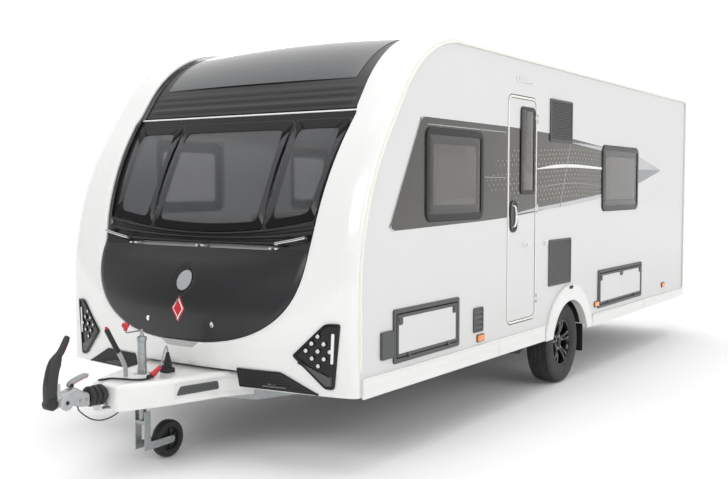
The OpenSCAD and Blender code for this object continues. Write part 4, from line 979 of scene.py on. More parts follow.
class CARAVAN_OT_windows(bpy.types.Operator):
    """Front windows, their black surround, pillars and ribbed sill"""

    bl_idname = "caravan.front_windows"
    bl_label = "Front windows"

    def opening(self, form, z, side, away):
        """Outline of one pane, 'away' metres inside its opening; side is -1, 0 or 1."""
        top = z.win_top_z - away
        inner = z.pillar + (-away if side == 0 else away)
        n = 14
        if side == 0:
            xs = np.linspace(-inner, inner, n)
            foot = np.column_stack([xs, form.win_low(xs) + away])
            head = np.column_stack([xs[::-1], np.full(n, top)])
        else:
            xs = np.linspace(inner, z.win_low_half - away + .006, n)
            foot = np.column_stack([xs, form.win_low(xs) + away])
            xt = np.linspace(z.win_top_half - away, inner, n)
            head = np.column_stack([xt, np.full(n, top)])
        outline = np.concatenate([foot, head])
        r = np.full(len(outline), .004)
        r[[0, n - 1, n, 2 * n - 1]] = .040 if away > .03 else .028
        if side < 0:
            outline = (outline * [-1, 1])[::-1]
            r = r[::-1]
        return softened(outline, r, 6)

    def execute(self, context):
        f, z, form = finishes(), context.scene.caravan_front, front()
        panes, borders, seals = [], [], []
        for side in (-1, 0, 1):
            outer = self.opening(form, z, side, .010)
            panes.append(self.pane(form, z, side))
            borders.append(form.ring(outer, self.opening(form, z, side, .058), .0163, .0052, .001))
            seals.append(form.ring(self.opening(form, z, side, -.002),
                                   self.opening(form, z, side, .0095), .0128, .016, .003))
        glass = piece("front_panes", merge(panes), "tinted_glass", f.front_glass)
        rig.replaces(glass, "front_window_panes")
        piece("front_pane_borders", merge(borders), "black_trim", f.black)
        surround = piece("front_seals", merge(seals), "black_trim", f.black_matt)
        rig.replaces(surround, "front_window_surround")
        x = np.linspace(-z.win_top_half - .030, z.win_top_half + .030, 40)[None]
        head_s = form.s_at(np.array([z.win_top_z - .006, z.sun_low - .006]))
        head = form.patch(x, np.linspace(*head_s, 5)[:, None], .012, .012)
        foot_x = np.linspace(-z.lid_half, z.lid_half, 60)[None]
        lower = float(form.s_at(z.lid_top + .024))
        upper = form.s_at(form.win_low(foot_x) + .004)
        v = np.linspace(0, 1, 26)[:, None]
        wave = .020 + .009 * np.sin(v * math.pi * 5 - .6) + .006 * (1 - v)
        sill = form.patch(foot_x, lower + (upper - lower) * v, wave, wave + .0004)
        ends = []
        for sign in (-1, 1):
            u = np.linspace(0, 1, 6)[None]
            v2 = np.linspace(0, 1, 14)[:, None]
            h = form.win_low(z.win_low_half) + v2 * (z.win_top_z - form.win_low(z.win_low_half))
            wide = form.win_half(h)
            ends.append(form.patch(sign * (wide - .008 + .044 * u), form.s_at(h), .010, .010))
        piece("front_header", merge([head] + ends), "black_trim", f.black)
        piece("front_sill", sill, "black_trim", f.graphite, crease=60)
        bright = form.s_at(np.array([z.sun_low - .0145, z.sun_low - .0065]))
        line_x = np.linspace(-z.sun_half, z.sun_half, 40)[None]
        piece("sunroof_bright_line", form.patch(line_x, np.linspace(*bright, 3)[:, None], .0165,
                                                .006), "white_moulding", f.moulding)
        return {"FINISHED"}

    def pane(self, form, z, side):
        """One curved pane, thickest in look where it bows out between its edges."""
        u, v = np.linspace(0, 1, 30)[None], np.linspace(0, 1, 24)[:, None]
        away = .012
        if side == 0:
            x = (z.pillar - away) * (2 * u - 1) + 0 * v
        else:
            far = z.win_low_half + (z.win_top_half - z.win_low_half) * v - away
            x = side * ((z.pillar + away) + (far - z.pillar - away) * u)
        low, high = form.s_at(form.win_low(x) + away), form.s_at(z.win_top_z - away)
        bow = .0108 + .0035 * np.sin(math.pi * u) * np.sin(math.pi * v)
        return form.patch(x, low + (high - low) * v, bow, .004)


class CARAVAN_OT_sunroof(bpy.types.Operator):
    """Dark sunroof over the brow, with its glass and the ridges along its foot"""

    bl_idname = "caravan.sunroof"
    bl_label = "Sunroof"

    def execute(self, context):
        f, z, form = finishes(), context.scene.caravan_front, front()
        low, high = float(form.s_at(z.sun_low)), form.s_end
        u, v = np.linspace(-1, 1, 60)[None], np.linspace(0, 1, 60)[:, None]
        roll = .012 * (1 - np.clip((1 - np.abs(u)) / .03, 0, 1)) + 0 * v
        ridge = (.006 * np.exp(-((v - .055) / .012) ** 2) + .005 * np.exp(-((v - .115) / .010) ** 2)
                 + .004 * np.exp(-((v - .165) / .010) ** 2)) * np.clip((.95 - np.abs(u)) / .05, 0,
                                                                       1)
        lift = .020 - roll + ridge
        shell_ = form.patch(z.sun_half * u + 0 * v, low + (high - low) * v, lift, .020)
        panel = piece("sunroof_frame", shell_, "dark_moulding", f.graphite, crease=60)
        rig.replaces(panel, "sunroof")
        s0, s1 = low + .24 * (high - low), low + .90 * (high - low)
        u2, v2 = np.linspace(-1, 1, 50)[None], np.linspace(0, 1, 36)[:, None]
        wide = z.sun_half - .075 - .030 * (1 - v2)
        pane = form.patch(wide * u2, s0 + (s1 - s0) * v2, .0225 + .006 * (1 - u2 ** 2) + 0 * v2,
                          .004)
        piece("sunroof_pane", pane, "dark_moulding", f.roof_glass)
        return {"FINISHED"}


class CARAVAN_OT_lid(bpy.types.Operator):
    """Gas locker lid with its shoulder, plain disc, blank diamond and latches"""

    bl_idname = "caravan.locker_lid"
    bl_label = "Gas locker lid"

    def execute(self, context):
        f, z, form = finishes(), context.scene.caravan_front, front()
        angle = np.radians(smooth_steps((88, 60, 14), (60, 0, 26)))[:, None]
        half, height = form.lid_edge(angle)
        u = np.linspace(-1, 1, 81)[None]
        x = half * u
        lift = z.rise * form.corner(x) - .002 + 0 * u
        # shoulder: a raised crescent under the hinge line, deepest at the middle
        crease = z.lid_top - .085 + .055 * (x / z.lid_half) ** 2
        lift = lift - .007 * np.clip((height - crease) / .022, 0, 1)
        # dished round the disc, and rolled at the edge
        dish = np.hypot(x, (height - .998))
        lift = lift - .008 * np.clip((.074 - dish) / .010, 0, 1)
        edge = np.minimum(np.clip((1 - np.abs(u)) * half / .012, 0, 1),
                          np.clip((height - (z.lid_top - z.lid_drop)) / .008, 0, 1))
        lift = lift - .005 * (1 - edge) ** 2
        outer = form.at(x, form.s_at(height), lift)
        inner = form.at(x, form.s_at(height), z.rise * form.corner(x) - .018)
        hinge_x = np.array([-.560, 0, .560])
        pin_y, pin_z = -z.reach - .025, z.lid_top + .014
        lid = piece("lid_skin", shell(outer, inner), "dark_moulding", f.graphite, "gas_locker_lid",
                    crease=40)
        hinge_bars = turned_form([[-.0115, 0], [-.0115, .0058], [.0115, .0058], [.0115, 0]],
                                 (0, 0, 0), 0, 20)
        knuckles = merge([merge([moved(hinge_bars, at_axle([cx, pin_y, pin_z])),
                                 block(at_axle([cx - .011, pin_y - .004, pin_z - .018]),
                                       at_axle([cx + .011, pin_y + .003, pin_z - .005]), .001)])
                          for cx in hinge_x])
        piece("lid_knuckles", knuckles, "dark_moulding", f.grey, "gas_locker_lid")
        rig.replaces(lid, "gas_locker_lid")
        ring = np.array([circle(r, 48) for r in (.070, .070, .060, .056)])
        lifts = (.036, .043, .045, .040)
        spun = np.array([form.at(r[:, 0], form.s_at(.998 + r[:, 1]), up) for r,
                         up in zip(ring, lifts)])
        disc = [form.at(circle(r, 48)[:, 0], form.s_at(.998 + circle(r, 48)[:, 1]), up)
                for r, up in ((.055, .038), (.055, .0425), (.040, .0435), (.012, .044))]
        piece("lid_disc_ring", grid(spun, wrap_rows=True, wrap_cols=True), "black_trim", f.black,
              "gas_locker_lid")
        piece("lid_disc", loft(disc), "grab_rail", f.cast, "gas_locker_lid")
        diamond = softened([[0, .762], [.052, .839], [0, .916], [-.052, .839]], .004)
        piece("lid_diamond_rim", form.laid(diamond, .0500, .004), "plug_red",
              f.red, "gas_locker_lid")
        piece("lid_diamond_face", form.laid(inset(diamond, .009), .0508, .003), "white_moulding",
              f.plate, "gas_locker_lid")
        latches = []
        for cx in (-.254, .254):
            oval = circle(.013, 20, 1.3) + [cx, .765]
            latches.append(form.laid(oval, .0535, .008, .003))
            latches.append(form.laid(circle(.005, 12) + [cx, .767], .0575, .008, .001))
        piece("lid_latches", merge(latches), "grab_rail", f.chrome, "gas_locker_lid")
        return {"FINISHED"}


class CARAVAN_OT_front_fittings(bpy.types.Operator):
    """Grab bars, light pods with their lamps, and the black corner grilles"""

    bl_idname = "caravan.front_fittings"
    bl_label = "Front fittings"

    def execute(self, context):
        f, form = finishes(), front()
        ends = np.array([[.590, 1.212], [.650, 1.222], [.720, 1.234], [.795, 1.249]])
        bar = form.at(ends[:, 0], form.s_at(ends[:, 1]), .066)
        section = softened([[-.008, -.011], [.008, -.011], [.008, .011], [-.008, .011]], .006)
        grip = sweep(spline(bar, 6), section, up=(0, -1, .3))
        feet = []
        for cx, cz in ((.612, 1.216), (.773, 1.245)):
            foot = [form.at(cx + circle(r, 20)[:, 0], form.s_at(cz + circle(r, 20)[:, 1]), up)
                    for r, up in ((.016, .028), (.015, .036), (.009, .044), (.009, .062))]
            feet.append(loft(foot))
        bars = piece("grab_bars", mirrored(grip), "grab_rail", f.chrome, crease=50)
        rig.replaces(bars, "front_grab_handles")
        piece("grab_bar_feet", mirrored(merge(feet)), "black_trim", f.black_matt)
        recess = softened([[.575, 1.172], [.800, 1.172], [.812, 1.238], [.600, 1.196]], .016)
        piece("grab_bar_recesses", mirrored(form.laid(recess, .0335, .004)), "black_trim",
              f.black_matt)
        kite = softened([[.772, .632], [.955, .462], [1.006, .462], [1.040, .815], [.962, .815]],
                        [.014, .020, .016, .016, .024], 6)
        well = inset(kite, .017)
        pods = piece("pod_bezels", mirrored(self.laid_band(form, [
            (kite, .0018), (kite, .0130), (inset(kite, .005), .0150), (inset(kite, .012), .0150),
            (well, .0075)])), "black_trim", f.black)
        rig.replaces(pods, "light_pods")
        facet = softened([[.800, .600], [.955, .478], [.992, .478], [.996, .530], [.958, .530]],
                         .006)
        piece("pod_facets", mirrored(self.laid_band(form, [(facet, .0076), (facet, .0120),
                                                           (inset(facet, .006), .0138)])),
              "grey_plastic", f.grey)
        i, j = (k.ravel() for k in np.meshgrid(np.arange(3), np.arange(3)))
        lamps_x = .918 + .0335 * (i - j)
        lamps_z = .664 + .0400 * (i + j - 2)
        cups, lenses = [], []
        for cx, cz in zip(lamps_x, lamps_z):
            cups.append(self.laid_band(form, [(circle(r, 20) + [cx, cz], up) for r, up in (
                (.0165, .0070), (.0165, .0115), (.0145, .0125), (.0125, .0115), (.0105, .0085))]))
            lenses.append(self.laid_band(form, [(circle(r, 16) + [cx, cz], up) for r, up in (
                (.0110, .0080), (.0108, .0108), (.0070, .0128), (.0020, .0136))]))
        piece("pod_lamp_cups", mirrored(merge(cups)), "black_trim", f.black)
        piece("pod_lamp_lenses", mirrored(merge(lenses)), "grab_rail", f.clear_lens)
        strip = softened([[.990, .600], [1.004, .600], [1.012, .762], [.996, .762]], .005)
        piece("pod_light_bars", mirrored(self.laid_band(form, [(strip, .0076), (strip, .0130),
                                                               (inset(strip, .003), .0144)])),
              "white_moulding", f.plate)
        dark = softened([[.408, .4245], [.918, .4245], [.690, .532], [.408, .532]],
                        [.004, .012, .014, .004])
        rim = piece("corner_grille_rims", mirrored(self.laid_band(form, [
            (dark, .0012), (dark, .0070), (inset(dark, .003), .0082), (inset(dark, .007), .0082),
            (inset(dark, .009), .0040)])), "black_trim", f.black)
        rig.replaces(rim, "corner_grilles")
        mesh_back = self.laid_band(form, [(inset(dark, .006), .0013), (inset(dark, .006), .0046)])
        piece("corner_grille_backs", mirrored(mesh_back), "black_trim", f.black_matt)
        slats = []
        for height in np.arange(.434, .528, .013):
            far = .905 - (height - .4245) * 2.12
            bar_x = np.linspace(.412, far, 24)[None]
            rise_s = form.s_at(np.linspace(height, height + .008, 3))[:, None]
            slats.append(form.patch(bar_x, rise_s, form.band_lift(bar_x) + .0066, .0025))
        piece("corner_grille_slats", mirrored(merge(slats)), "black_trim", f.black_matt)
        return {"FINISHED"}

    @staticmethod
    def laid_band(form, flat):
        """Rings of (outline, lift over the white moulding), skinned from first to last."""
        return loft([form.at(o[:, 0], form.s_at(o[:, 1]), form.band_lift(o[:, 0]) + up)
                     for o, up in flat])


# ---- Sides ----

SIDE_WINDOWS = {1: ((-2.230, .743), (.705, .945)), -1: ((-2.230, .743), (-.700, .620),
                                                        (.705, .945))}
VENTS = {1: ((-.405, 1.873, .431, .317, 19), (-.405, .792, .431, .349, 19),
             (-2.705, .590, .123, .154, 0), (-1.612, .600, .132, .160, 4)),
         -1: ((-1.500, .700, .180, .180, 7), (.900, .640, .180, .180, 7))}
LOCKERS = (("front_locker_door", 1, -2.576, .766, .550, .305),
           ("rear_locker_door", 1, .642, 1.148, .516, .321),
           ("cassette_door", -1, 1.960, .420, .530, .321))


def sided(surface, side):
    """The surface as it is for the door side, or mirrored for the far side."""
    if side > 0:
        return surface
    return surface[0] * [-1, 1, 1], [f[::-1] for f in surface[1]]


def both(surface):
    """The surface on both sides, as one."""
    return merge([sided(surface, 1), sided(surface, -1)])


def bar(y0, y1, z0, z1, x0, x1, edge=.002):
    """Box on the side wall, its place along the length measured from the axle line."""
    return block(at_axle([x0, y0, z0]), at_axle([x1, y1, z1]), edge)


class CARAVAN_OT_node_finishes(bpy.types.Operator):
    """Finishes for the solids that are shown as they are"""

    bl_idname = "caravan.node_finishes"
    bl_label = "Finishes of plain solids"

    def execute(self, context):
        f = finishes()
        for finish, names in (
                (f.sheet, "left_wall right_wall rear_wall front_wall entrance_door"),
                (f.moulding, "roof_panel side_skirts wheel_arches a_frame_cover front_moulding "
                             "rear_fittings roof_lights"),
                (f.rail, "awning_rails"),
                (f.graphite, "sunroof gas_locker_lid"),
                (f.black, "front_window_surround light_pods corner_grilles side_window_frames "
                          "door_window door_handle"),
                (f.glass, "front_window_panes side_window_panes"),
                (f.grey, "side_vents locker_frames front_locker_door rear_locker_door "
                         "cassette_door"),
                (f.lining, "gas_locker_box"),
                (f.amber, "marker_lamps"), (f.red_lens, "rear_lamps"),
                (f.zinc, "chassis_rails cross_members axle_tube suspension_arms steady_brackets "
                         "left_front_steady right_front_steady left_rear_steady right_rear_steady "
                         "jockey_tube jockey_stem jockey_fork coupling_shaft"),
                (f.chrome, "front_grab_handles"), (f.cast, "coupling_head hitch_levers"),
                (f.board, "floor_panel"), (f.timber, "furniture"), (f.cloth, "seat_cushions"),
                (f.alloy, "left_wheel right_wheel"),
                (f.rubber, "left_tyre right_tyre jockey_wheel mudflaps"),
                (f.soft_black, "tow_cable plug_lead breakaway_cable"), (f.red, "tow_plugs")):
            for name in names.split():
                for place in NODES[name].material_slots:
                    place.material = finish
        return {"FINISHED"}


class CARAVAN_OT_awning_rails(bpy.types.Operator):
    """Fine cream rails up the front edge, along the roof and down the rear edge"""

    bl_idname = "caravan.awning_rails"
    bl_label = "Awning rails"

    def execute(self, context):
        f, z, form = finishes(), context.scene.caravan_front, front()
        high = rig.box("rear_wall")[1]
        s = np.linspace(float(form.s_at(.56)), form.s_roof, 90)
        y, up, a = form.line(s)
        nose = np.column_stack([np.full(90, WALL_X + .006), y + AXLE_Y - .002 * np.cos(a),
                                up - .004])
        rear = spline([[WALL_X + .006, high[1] - .30, z.roof_z - .004],
                       [WALL_X + .006, high[1] - .05, z.roof_z - .006],
                       [WALL_X + .006, high[1] - .006, z.roof_z - .05],
                       [WALL_X + .006, high[1] - .004, z.roof_z - .30],
                       [WALL_X + .006, high[1] - .004, .470]], 12)
        path = np.concatenate([nose, rear])
        # a flat foot on the wall with a round bead on its outer edge
        section = np.array([[-.006, -.013], [.0005, -.013], [.0035, -.006], [.0065, -.004],
                            [.0075, .001], [.006, .006], [.001, .007], [-.006, .007]])
        rails = piece("awning_rails_fine", both(sweep(path, section, up=(1, 0, 0))), "awning_rail",
                      f.rail, crease=50)
        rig.replaces(rails, "awning_rails")
        return {"FINISHED"}


class CARAVAN_OT_side_windows(bpy.types.Operator):
    """Side windows: gloss black borders, tinted panes, seals and catches"""

    bl_idname = "caravan.side_windows"
    bl_label = "Side windows"

    def execute(self, context):
        f, z = finishes(), context.scene.caravan_side
        frames, panes, seals, catches, frits = [], [], [], [], []
        for side, spans in SIDE_WINDOWS.items():
            for y, length in spans:
                low, high = (y, z.window_z), (y + length, z.window_z + z.window_h)
                outer = rounded(low, high, z.window_r, 10)
                r = z.window_r
                frames.append(sided(wall_ring(inset(outer, .006), inset(outer, .044), WALL_X - .004,
                                              WALL_X + .0105, .0035), side))
                seals.append(sided(wall_ring(outer, inset(outer, .0055), WALL_X - .004,
                                             WALL_X + .0060, .002), side))
                rows = []
                for d, x in ((.040, -.0045), (.040, .0035), (.048, .0062), (.085, .0072)):
                    rows.append(on_wall(rounded([low[0] + d, low[1] + d],
                                                [high[0] - d, high[1] - d], max(r - d, .012), 10),
                                        WALL_X + x))
                panes.append(sided(loft(rows), side))
                frits.append(sided(wall_ring(inset(outer, .0435), rounded(
                    [low[0] + .098, low[1] + .098], [high[0] - .098, high[1] - .098], .030, 10),
                    WALL_X - .0060, WALL_X - .0040, .0004), side))
                for share in (.28, .72):
                    cy = y + length * share
                    catches.append(sided(bar(cy - .030, cy + .030, z.window_z + .050,
                                             z.window_z + .068, WALL_X - .045, WALL_X - .012),
                                         side))
        frame_piece = piece("side_window_borders", merge(frames), "black_trim", f.black)
        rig.replaces(frame_piece, "side_window_frames")
        glass = piece("side_window_acrylic", merge(panes), "tinted_glass", f.glass)
        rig.replaces(glass, "side_window_panes")
        piece("side_window_dark_bands", merge(frits), "black_trim", f.black)
        piece("side_window_seals", merge(seals), "black_trim", f.black_matt)
        piece("side_window_catches", merge(catches), "grey_plastic", f.grey)
        return {"FINISHED"}


class CARAVAN_OT_vents(bpy.types.Operator):
    """Louvred fridge vents and the small boxes along the sides"""

    bl_idname = "caravan.vents"
    bl_label = "Vents"

    def execute(self, context):
        f, z = finishes(), context.scene.caravan_side
        frames, slats, backs = [], [], []
        for side, boxes in VENTS.items():
            for y, low, length, height, count in boxes:
                outer = rounded([y, low], [y + length, low + height], .012, 5)
                if not count:
                    frames.append(sided(plate(outer, WALL_X - .001, WALL_X + .016, .004), side))
                    continue
                count = z.slats if count == 19 else count
                wide = .018 if count > 10 else .012
                inner = rounded([y + wide, low + wide], [y + length - wide, low + height - wide],
                                .005, 5)
                frames.append(sided(wall_ring(outer, inner, WALL_X - .001, WALL_X + .010, .002),
                                    side))
                # painted shade: a black sheet behind the slats stands in for the dark space behind the vent
                backs.append(sided(plate(inset(outer, .004), WALL_X - .001, WALL_X + .0022, .001),
                                   side))
                step = (height - 2 * wide) / count
                for k in range(count):
                    # each slat leans outwards towards its foot
                    z0 = low + wide + k * step
                    section = at_axle([[WALL_X + .002, y + wide - .002, z0 + step * .92],
                                       [WALL_X + .0035, y + wide - .002, z0 + step * .95],
                                       [WALL_X + .0095, y + wide - .002, z0 + step * .30],
                                       [WALL_X + .0080, y + wide - .002, z0 + step * .10],
                                       [WALL_X + .002, y + wide - .002, z0 + step * .50]])
                    slats.append(sided(loft([section, section + [0, length - 2 * wide + .004, 0]]),
                                       side))
        vents = piece("vent_frames", merge(frames), "grey_plastic", f.grey)
        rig.replaces(vents, "side_vents")
        piece("vent_slats", merge(slats), "grey_plastic", f.grey)
        piece("vent_backs", merge(backs), "black_trim", f.black_matt)
        return {"FINISHED"}


class CARAVAN_OT_side_lockers(bpy.types.Operator):
    """Locker frames, raised leaf panels and their latch blocks"""

    bl_idname = "caravan.side_lockers"
    bl_label = "Side lockers"

    def execute(self, context):
        f = finishes()
        frames = []
        for body, side, y, length, low, height in LOCKERS:
            def outline(d, r):
                return rounded([y + d, low + d], [y + length - d, low + height - d], r, 6)
            frames.append(sided(wall_ring(outline(0, .016), outline(.0262, .008), WALL_X - .001,
                                          WALL_X + .0105, .003), side))
            e = .034
            rim = wall_ring(outline(e - .001, .009), outline(e + .016, .006), WALL_X + .0078,
                            WALL_X + .0106, .001)
            piece(body + "_rim", sided(rim, side), "grey_plastic", f.grey, body)
            panel = plate(outline(e + .0165, .007), WALL_X + .0078, WALL_X + .0098, .0015)
            piece(body + "_panel", sided(panel, side), "white_moulding", f.sheet, body)
            latches = []
            for y0, y1 in ((y + e + .001, y + e + .060),
                           (y + length - e - .060, y + length - e - .001)):
                latches.append(plate(rounded([y0, low + height - e - .058],
                                             [y1, low + height - e - .001], .012, 5),
                                     WALL_X + .0078, WALL_X + .0122, .002))
                cy = (y0 + y1) / 2
                latches.append(plate(rounded([cy - .016, low + height - e - .045],
                                             [cy + .016, low + height - e - .016], .006, 5),
                                     WALL_X + .0118, WALL_X + .0165, .002))
            if length > 1:
                cy = y + length / 2
                latches.append(plate(softened([[cy - .05, low + height - e - .002],
                                               [cy - .036, low + height - e - .050],
                                               [cy + .036, low + height - e - .050],
                                               [cy + .05, low + height - e - .002]], .014),
                                     WALL_X + .0078, WALL_X + .0125, .002))
            piece(body + "_latches", sided(merge(latches), side), "grey_plastic", f.grey, body)
        ring = piece("locker_frame_rings", merge(frames), "grey_plastic", f.grey)
        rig.replaces(ring, "locker_frames")
        return {"FINISHED"}


class CARAVAN_OT_marker_lamps(bpy.types.Operator):
    """Amber side lamps in dark bases"""

    bl_idname = "caravan.marker_lamps"
    bl_label = "Marker lamps"

    def execute(self, context):
        f = finishes()
        bases, lenses = [], []
        for y in (-1.560, .562, 2.447):
            outer = rounded([y - .0025, .5325], [y + .1025, .5815], .010, 5)
            bases.append(both(plate(outer, WALL_X - .001, WALL_X + .0050, .001)))
            body = rounded([y + .002, .537], [y + .098, .577], .010, 6)
            lenses.append(both(loft([on_wall(body, WALL_X + .004), on_wall(body, WALL_X + .0085),
                                     on_wall(inset(body, .003), WALL_X + .0125),
                                     on_wall(inset(body, .008), WALL_X + .0140)])))
        lamp = piece("marker_lenses", merge(lenses), "amber_lens", f.amber)
        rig.replaces(lamp, "marker_lamps")
        piece("marker_bases", merge(bases), "black_trim", f.black_matt)
        return {"FINISHED"}


class CARAVAN_OT_side_trims(bpy.types.Operator):
    """Ledge and step lines on the skirts, wheel arch lips, clips and joint covers"""

    bl_idname = "caravan.side_trims"
    bl_label = "Side trims"

    def execute(self, context):
        f = finishes()
        trims = []
        for y0, y1, z0, z1 in ((-2.880, -.481, .518, .508), (.520, 3.180, .482, .462)):
            path = at_axle([[WALL_X + .006, y0, z0 - .004], [WALL_X + .006, y1, z1 - .004]])
            path = path[:1] + (path[1:] - path[:1]) * np.linspace(0, 1, 12)[:, None]
            section = softened([[-.007, -.006], [.010, -.006], [.012, .000], [.004, .006],
                                [-.007, .006]], .002, 3)
            trims.append(sweep(path, section))
            trims.append(sweep(path + [.006, 0, -.046],
                               softened([[-.003, -.004], [.0035, -.004], [.0035, .004],
                                         [-.003, .004]], .0015, 3)))
        piece("skirt_ledges", both(merge(trims)), "white_moulding", f.moulding, crease=50)
        lip = []
        for radius, half in ((.4905, .006), (.376, .005)):
            low = math.asin(.112 / radius)
            arch = np.linspace(low, math.pi - low, 70)
            path = at_axle(np.column_stack([np.full(70, WALL_X + .012),
                                            .015 + radius * np.cos(arch),
                                            .280 + radius * np.sin(arch)]))
            lip.append(self.hoop(path, half, .0085))
        piece("wheel_arch_lips", both(merge(lip)), "white_moulding", f.moulding, crease=50)
        clip = loft([on_wall(o, x) for o, x in
                     [(rounded([-.021, .742], [.043, .768], .011, 6), WALL_X + .010),
                      (rounded([-.021, .742], [.043, .768], .011, 6), WALL_X + .0235),
                      (rounded([-.016, .746], [.038, .764], .008, 6), WALL_X + .0255)]])
        piece("wheel_arch_clips", both(clip), "black_trim", f.black_matt)
        covers = [bar(y - .014, y + .014, z0, z1, WALL_X + .010, WALL_X + .0165, .002)
                  for y, z0, z1 in ((-1.250, .402, .512), (1.850, .392, .470))]
        piece("skirt_joints", both(merge(covers)), "white_moulding", f.moulding)
        lamp = bar(-.98, -.73, 2.262, 2.302, WALL_X - .001, WALL_X + .010, .004)
        piece("awning_lamp_base", lamp, "white_moulding", f.moulding)
        lens = bar(-.972, -.738, 2.267, 2.297, WALL_X + .009, WALL_X + .0145, .0025)
        piece("awning_lamp_lens", lens, "white_moulding", f.clear_lens)
        return {"FINISHED"}

    @staticmethod
    def hoop(path, half, out):
        """Flat band along a path on the wall: 'out' from the wall, 'half' each way."""
        along = unit(np.gradient(path, axis=0))
        away = np.cross(along, [1, 0, 0])
        section = np.array([[-.010, -half], [-.010, half], [out - .002, half], [out, half - .002],
                            [out, .002 - half], [out - .002, -half]])
        rings = (path[:, None] + section[None, :, :1] * [1, 0, 0]
                 + section[None, :, 1:] * away[:, None])
        return loft(rings)


# ---- Film along the side ----

BAND_TOP = np.array([[-2.602, 1.332], [-2.590, 1.362], [-2.300, 1.893], [-2.283, 1.918],
                     [-2.266, 1.934], [-2.246, 1.942], [-2.220, 1.944], [-1.040, 1.944],
                     [-.405, 1.932], [.076, 1.909], [.668, 1.875], [1.693, 1.812], [2.331, 1.704]])
BAND_FOOT = np.array([[-2.602, 1.328], [-2.590, 1.302], [-2.559, 1.294], [-1.465, 1.317],
                      [-1.157, 1.328], [-.742, 1.350], [.093, 1.415], [.685, 1.458], [1.706, 1.572],
                      [2.331, 1.690]])


def ramp(table):
    """Height of a drawn line at any place along the length."""
    table = np.asarray(table, float)
    return lambda y: np.interp(y, table[:, 0], table[:, 1])


def film(y0, y1, foot, top, x=.0010, thick=.0008, n=24):
    """Thin sheet on the wall between two lines over a stretch of its length."""
    y = np.linspace(y0, y1, n)[None]
    v = np.linspace(0, 1, 3)[:, None]
    low = foot(y) if callable(foot) else foot + 0 * y
    high = top(y) if callable(top) else top + 0 * y
    place = low + np.maximum(high - low, .0004) * v

    def at(out):
        return np.stack([WALL_X + out + 0 * place, y + AXLE_Y + 0 * place, place], -1)
    return shell(at(x), at(x - thick))


def stripe(points, widths, x=.0018):
    """A drawn line with its own width at each point, as (y0, y1, foot, top) for film()."""
    points = np.asarray(points, float)
    half = ramp(np.column_stack([points[:, 0], np.asarray(widths, float) / 2]))
    line = ramp(spline(points, 8))
    return points[0, 0], points[-1, 0], lambda y: line(y) - half(y), lambda y: line(y) + half(y), x


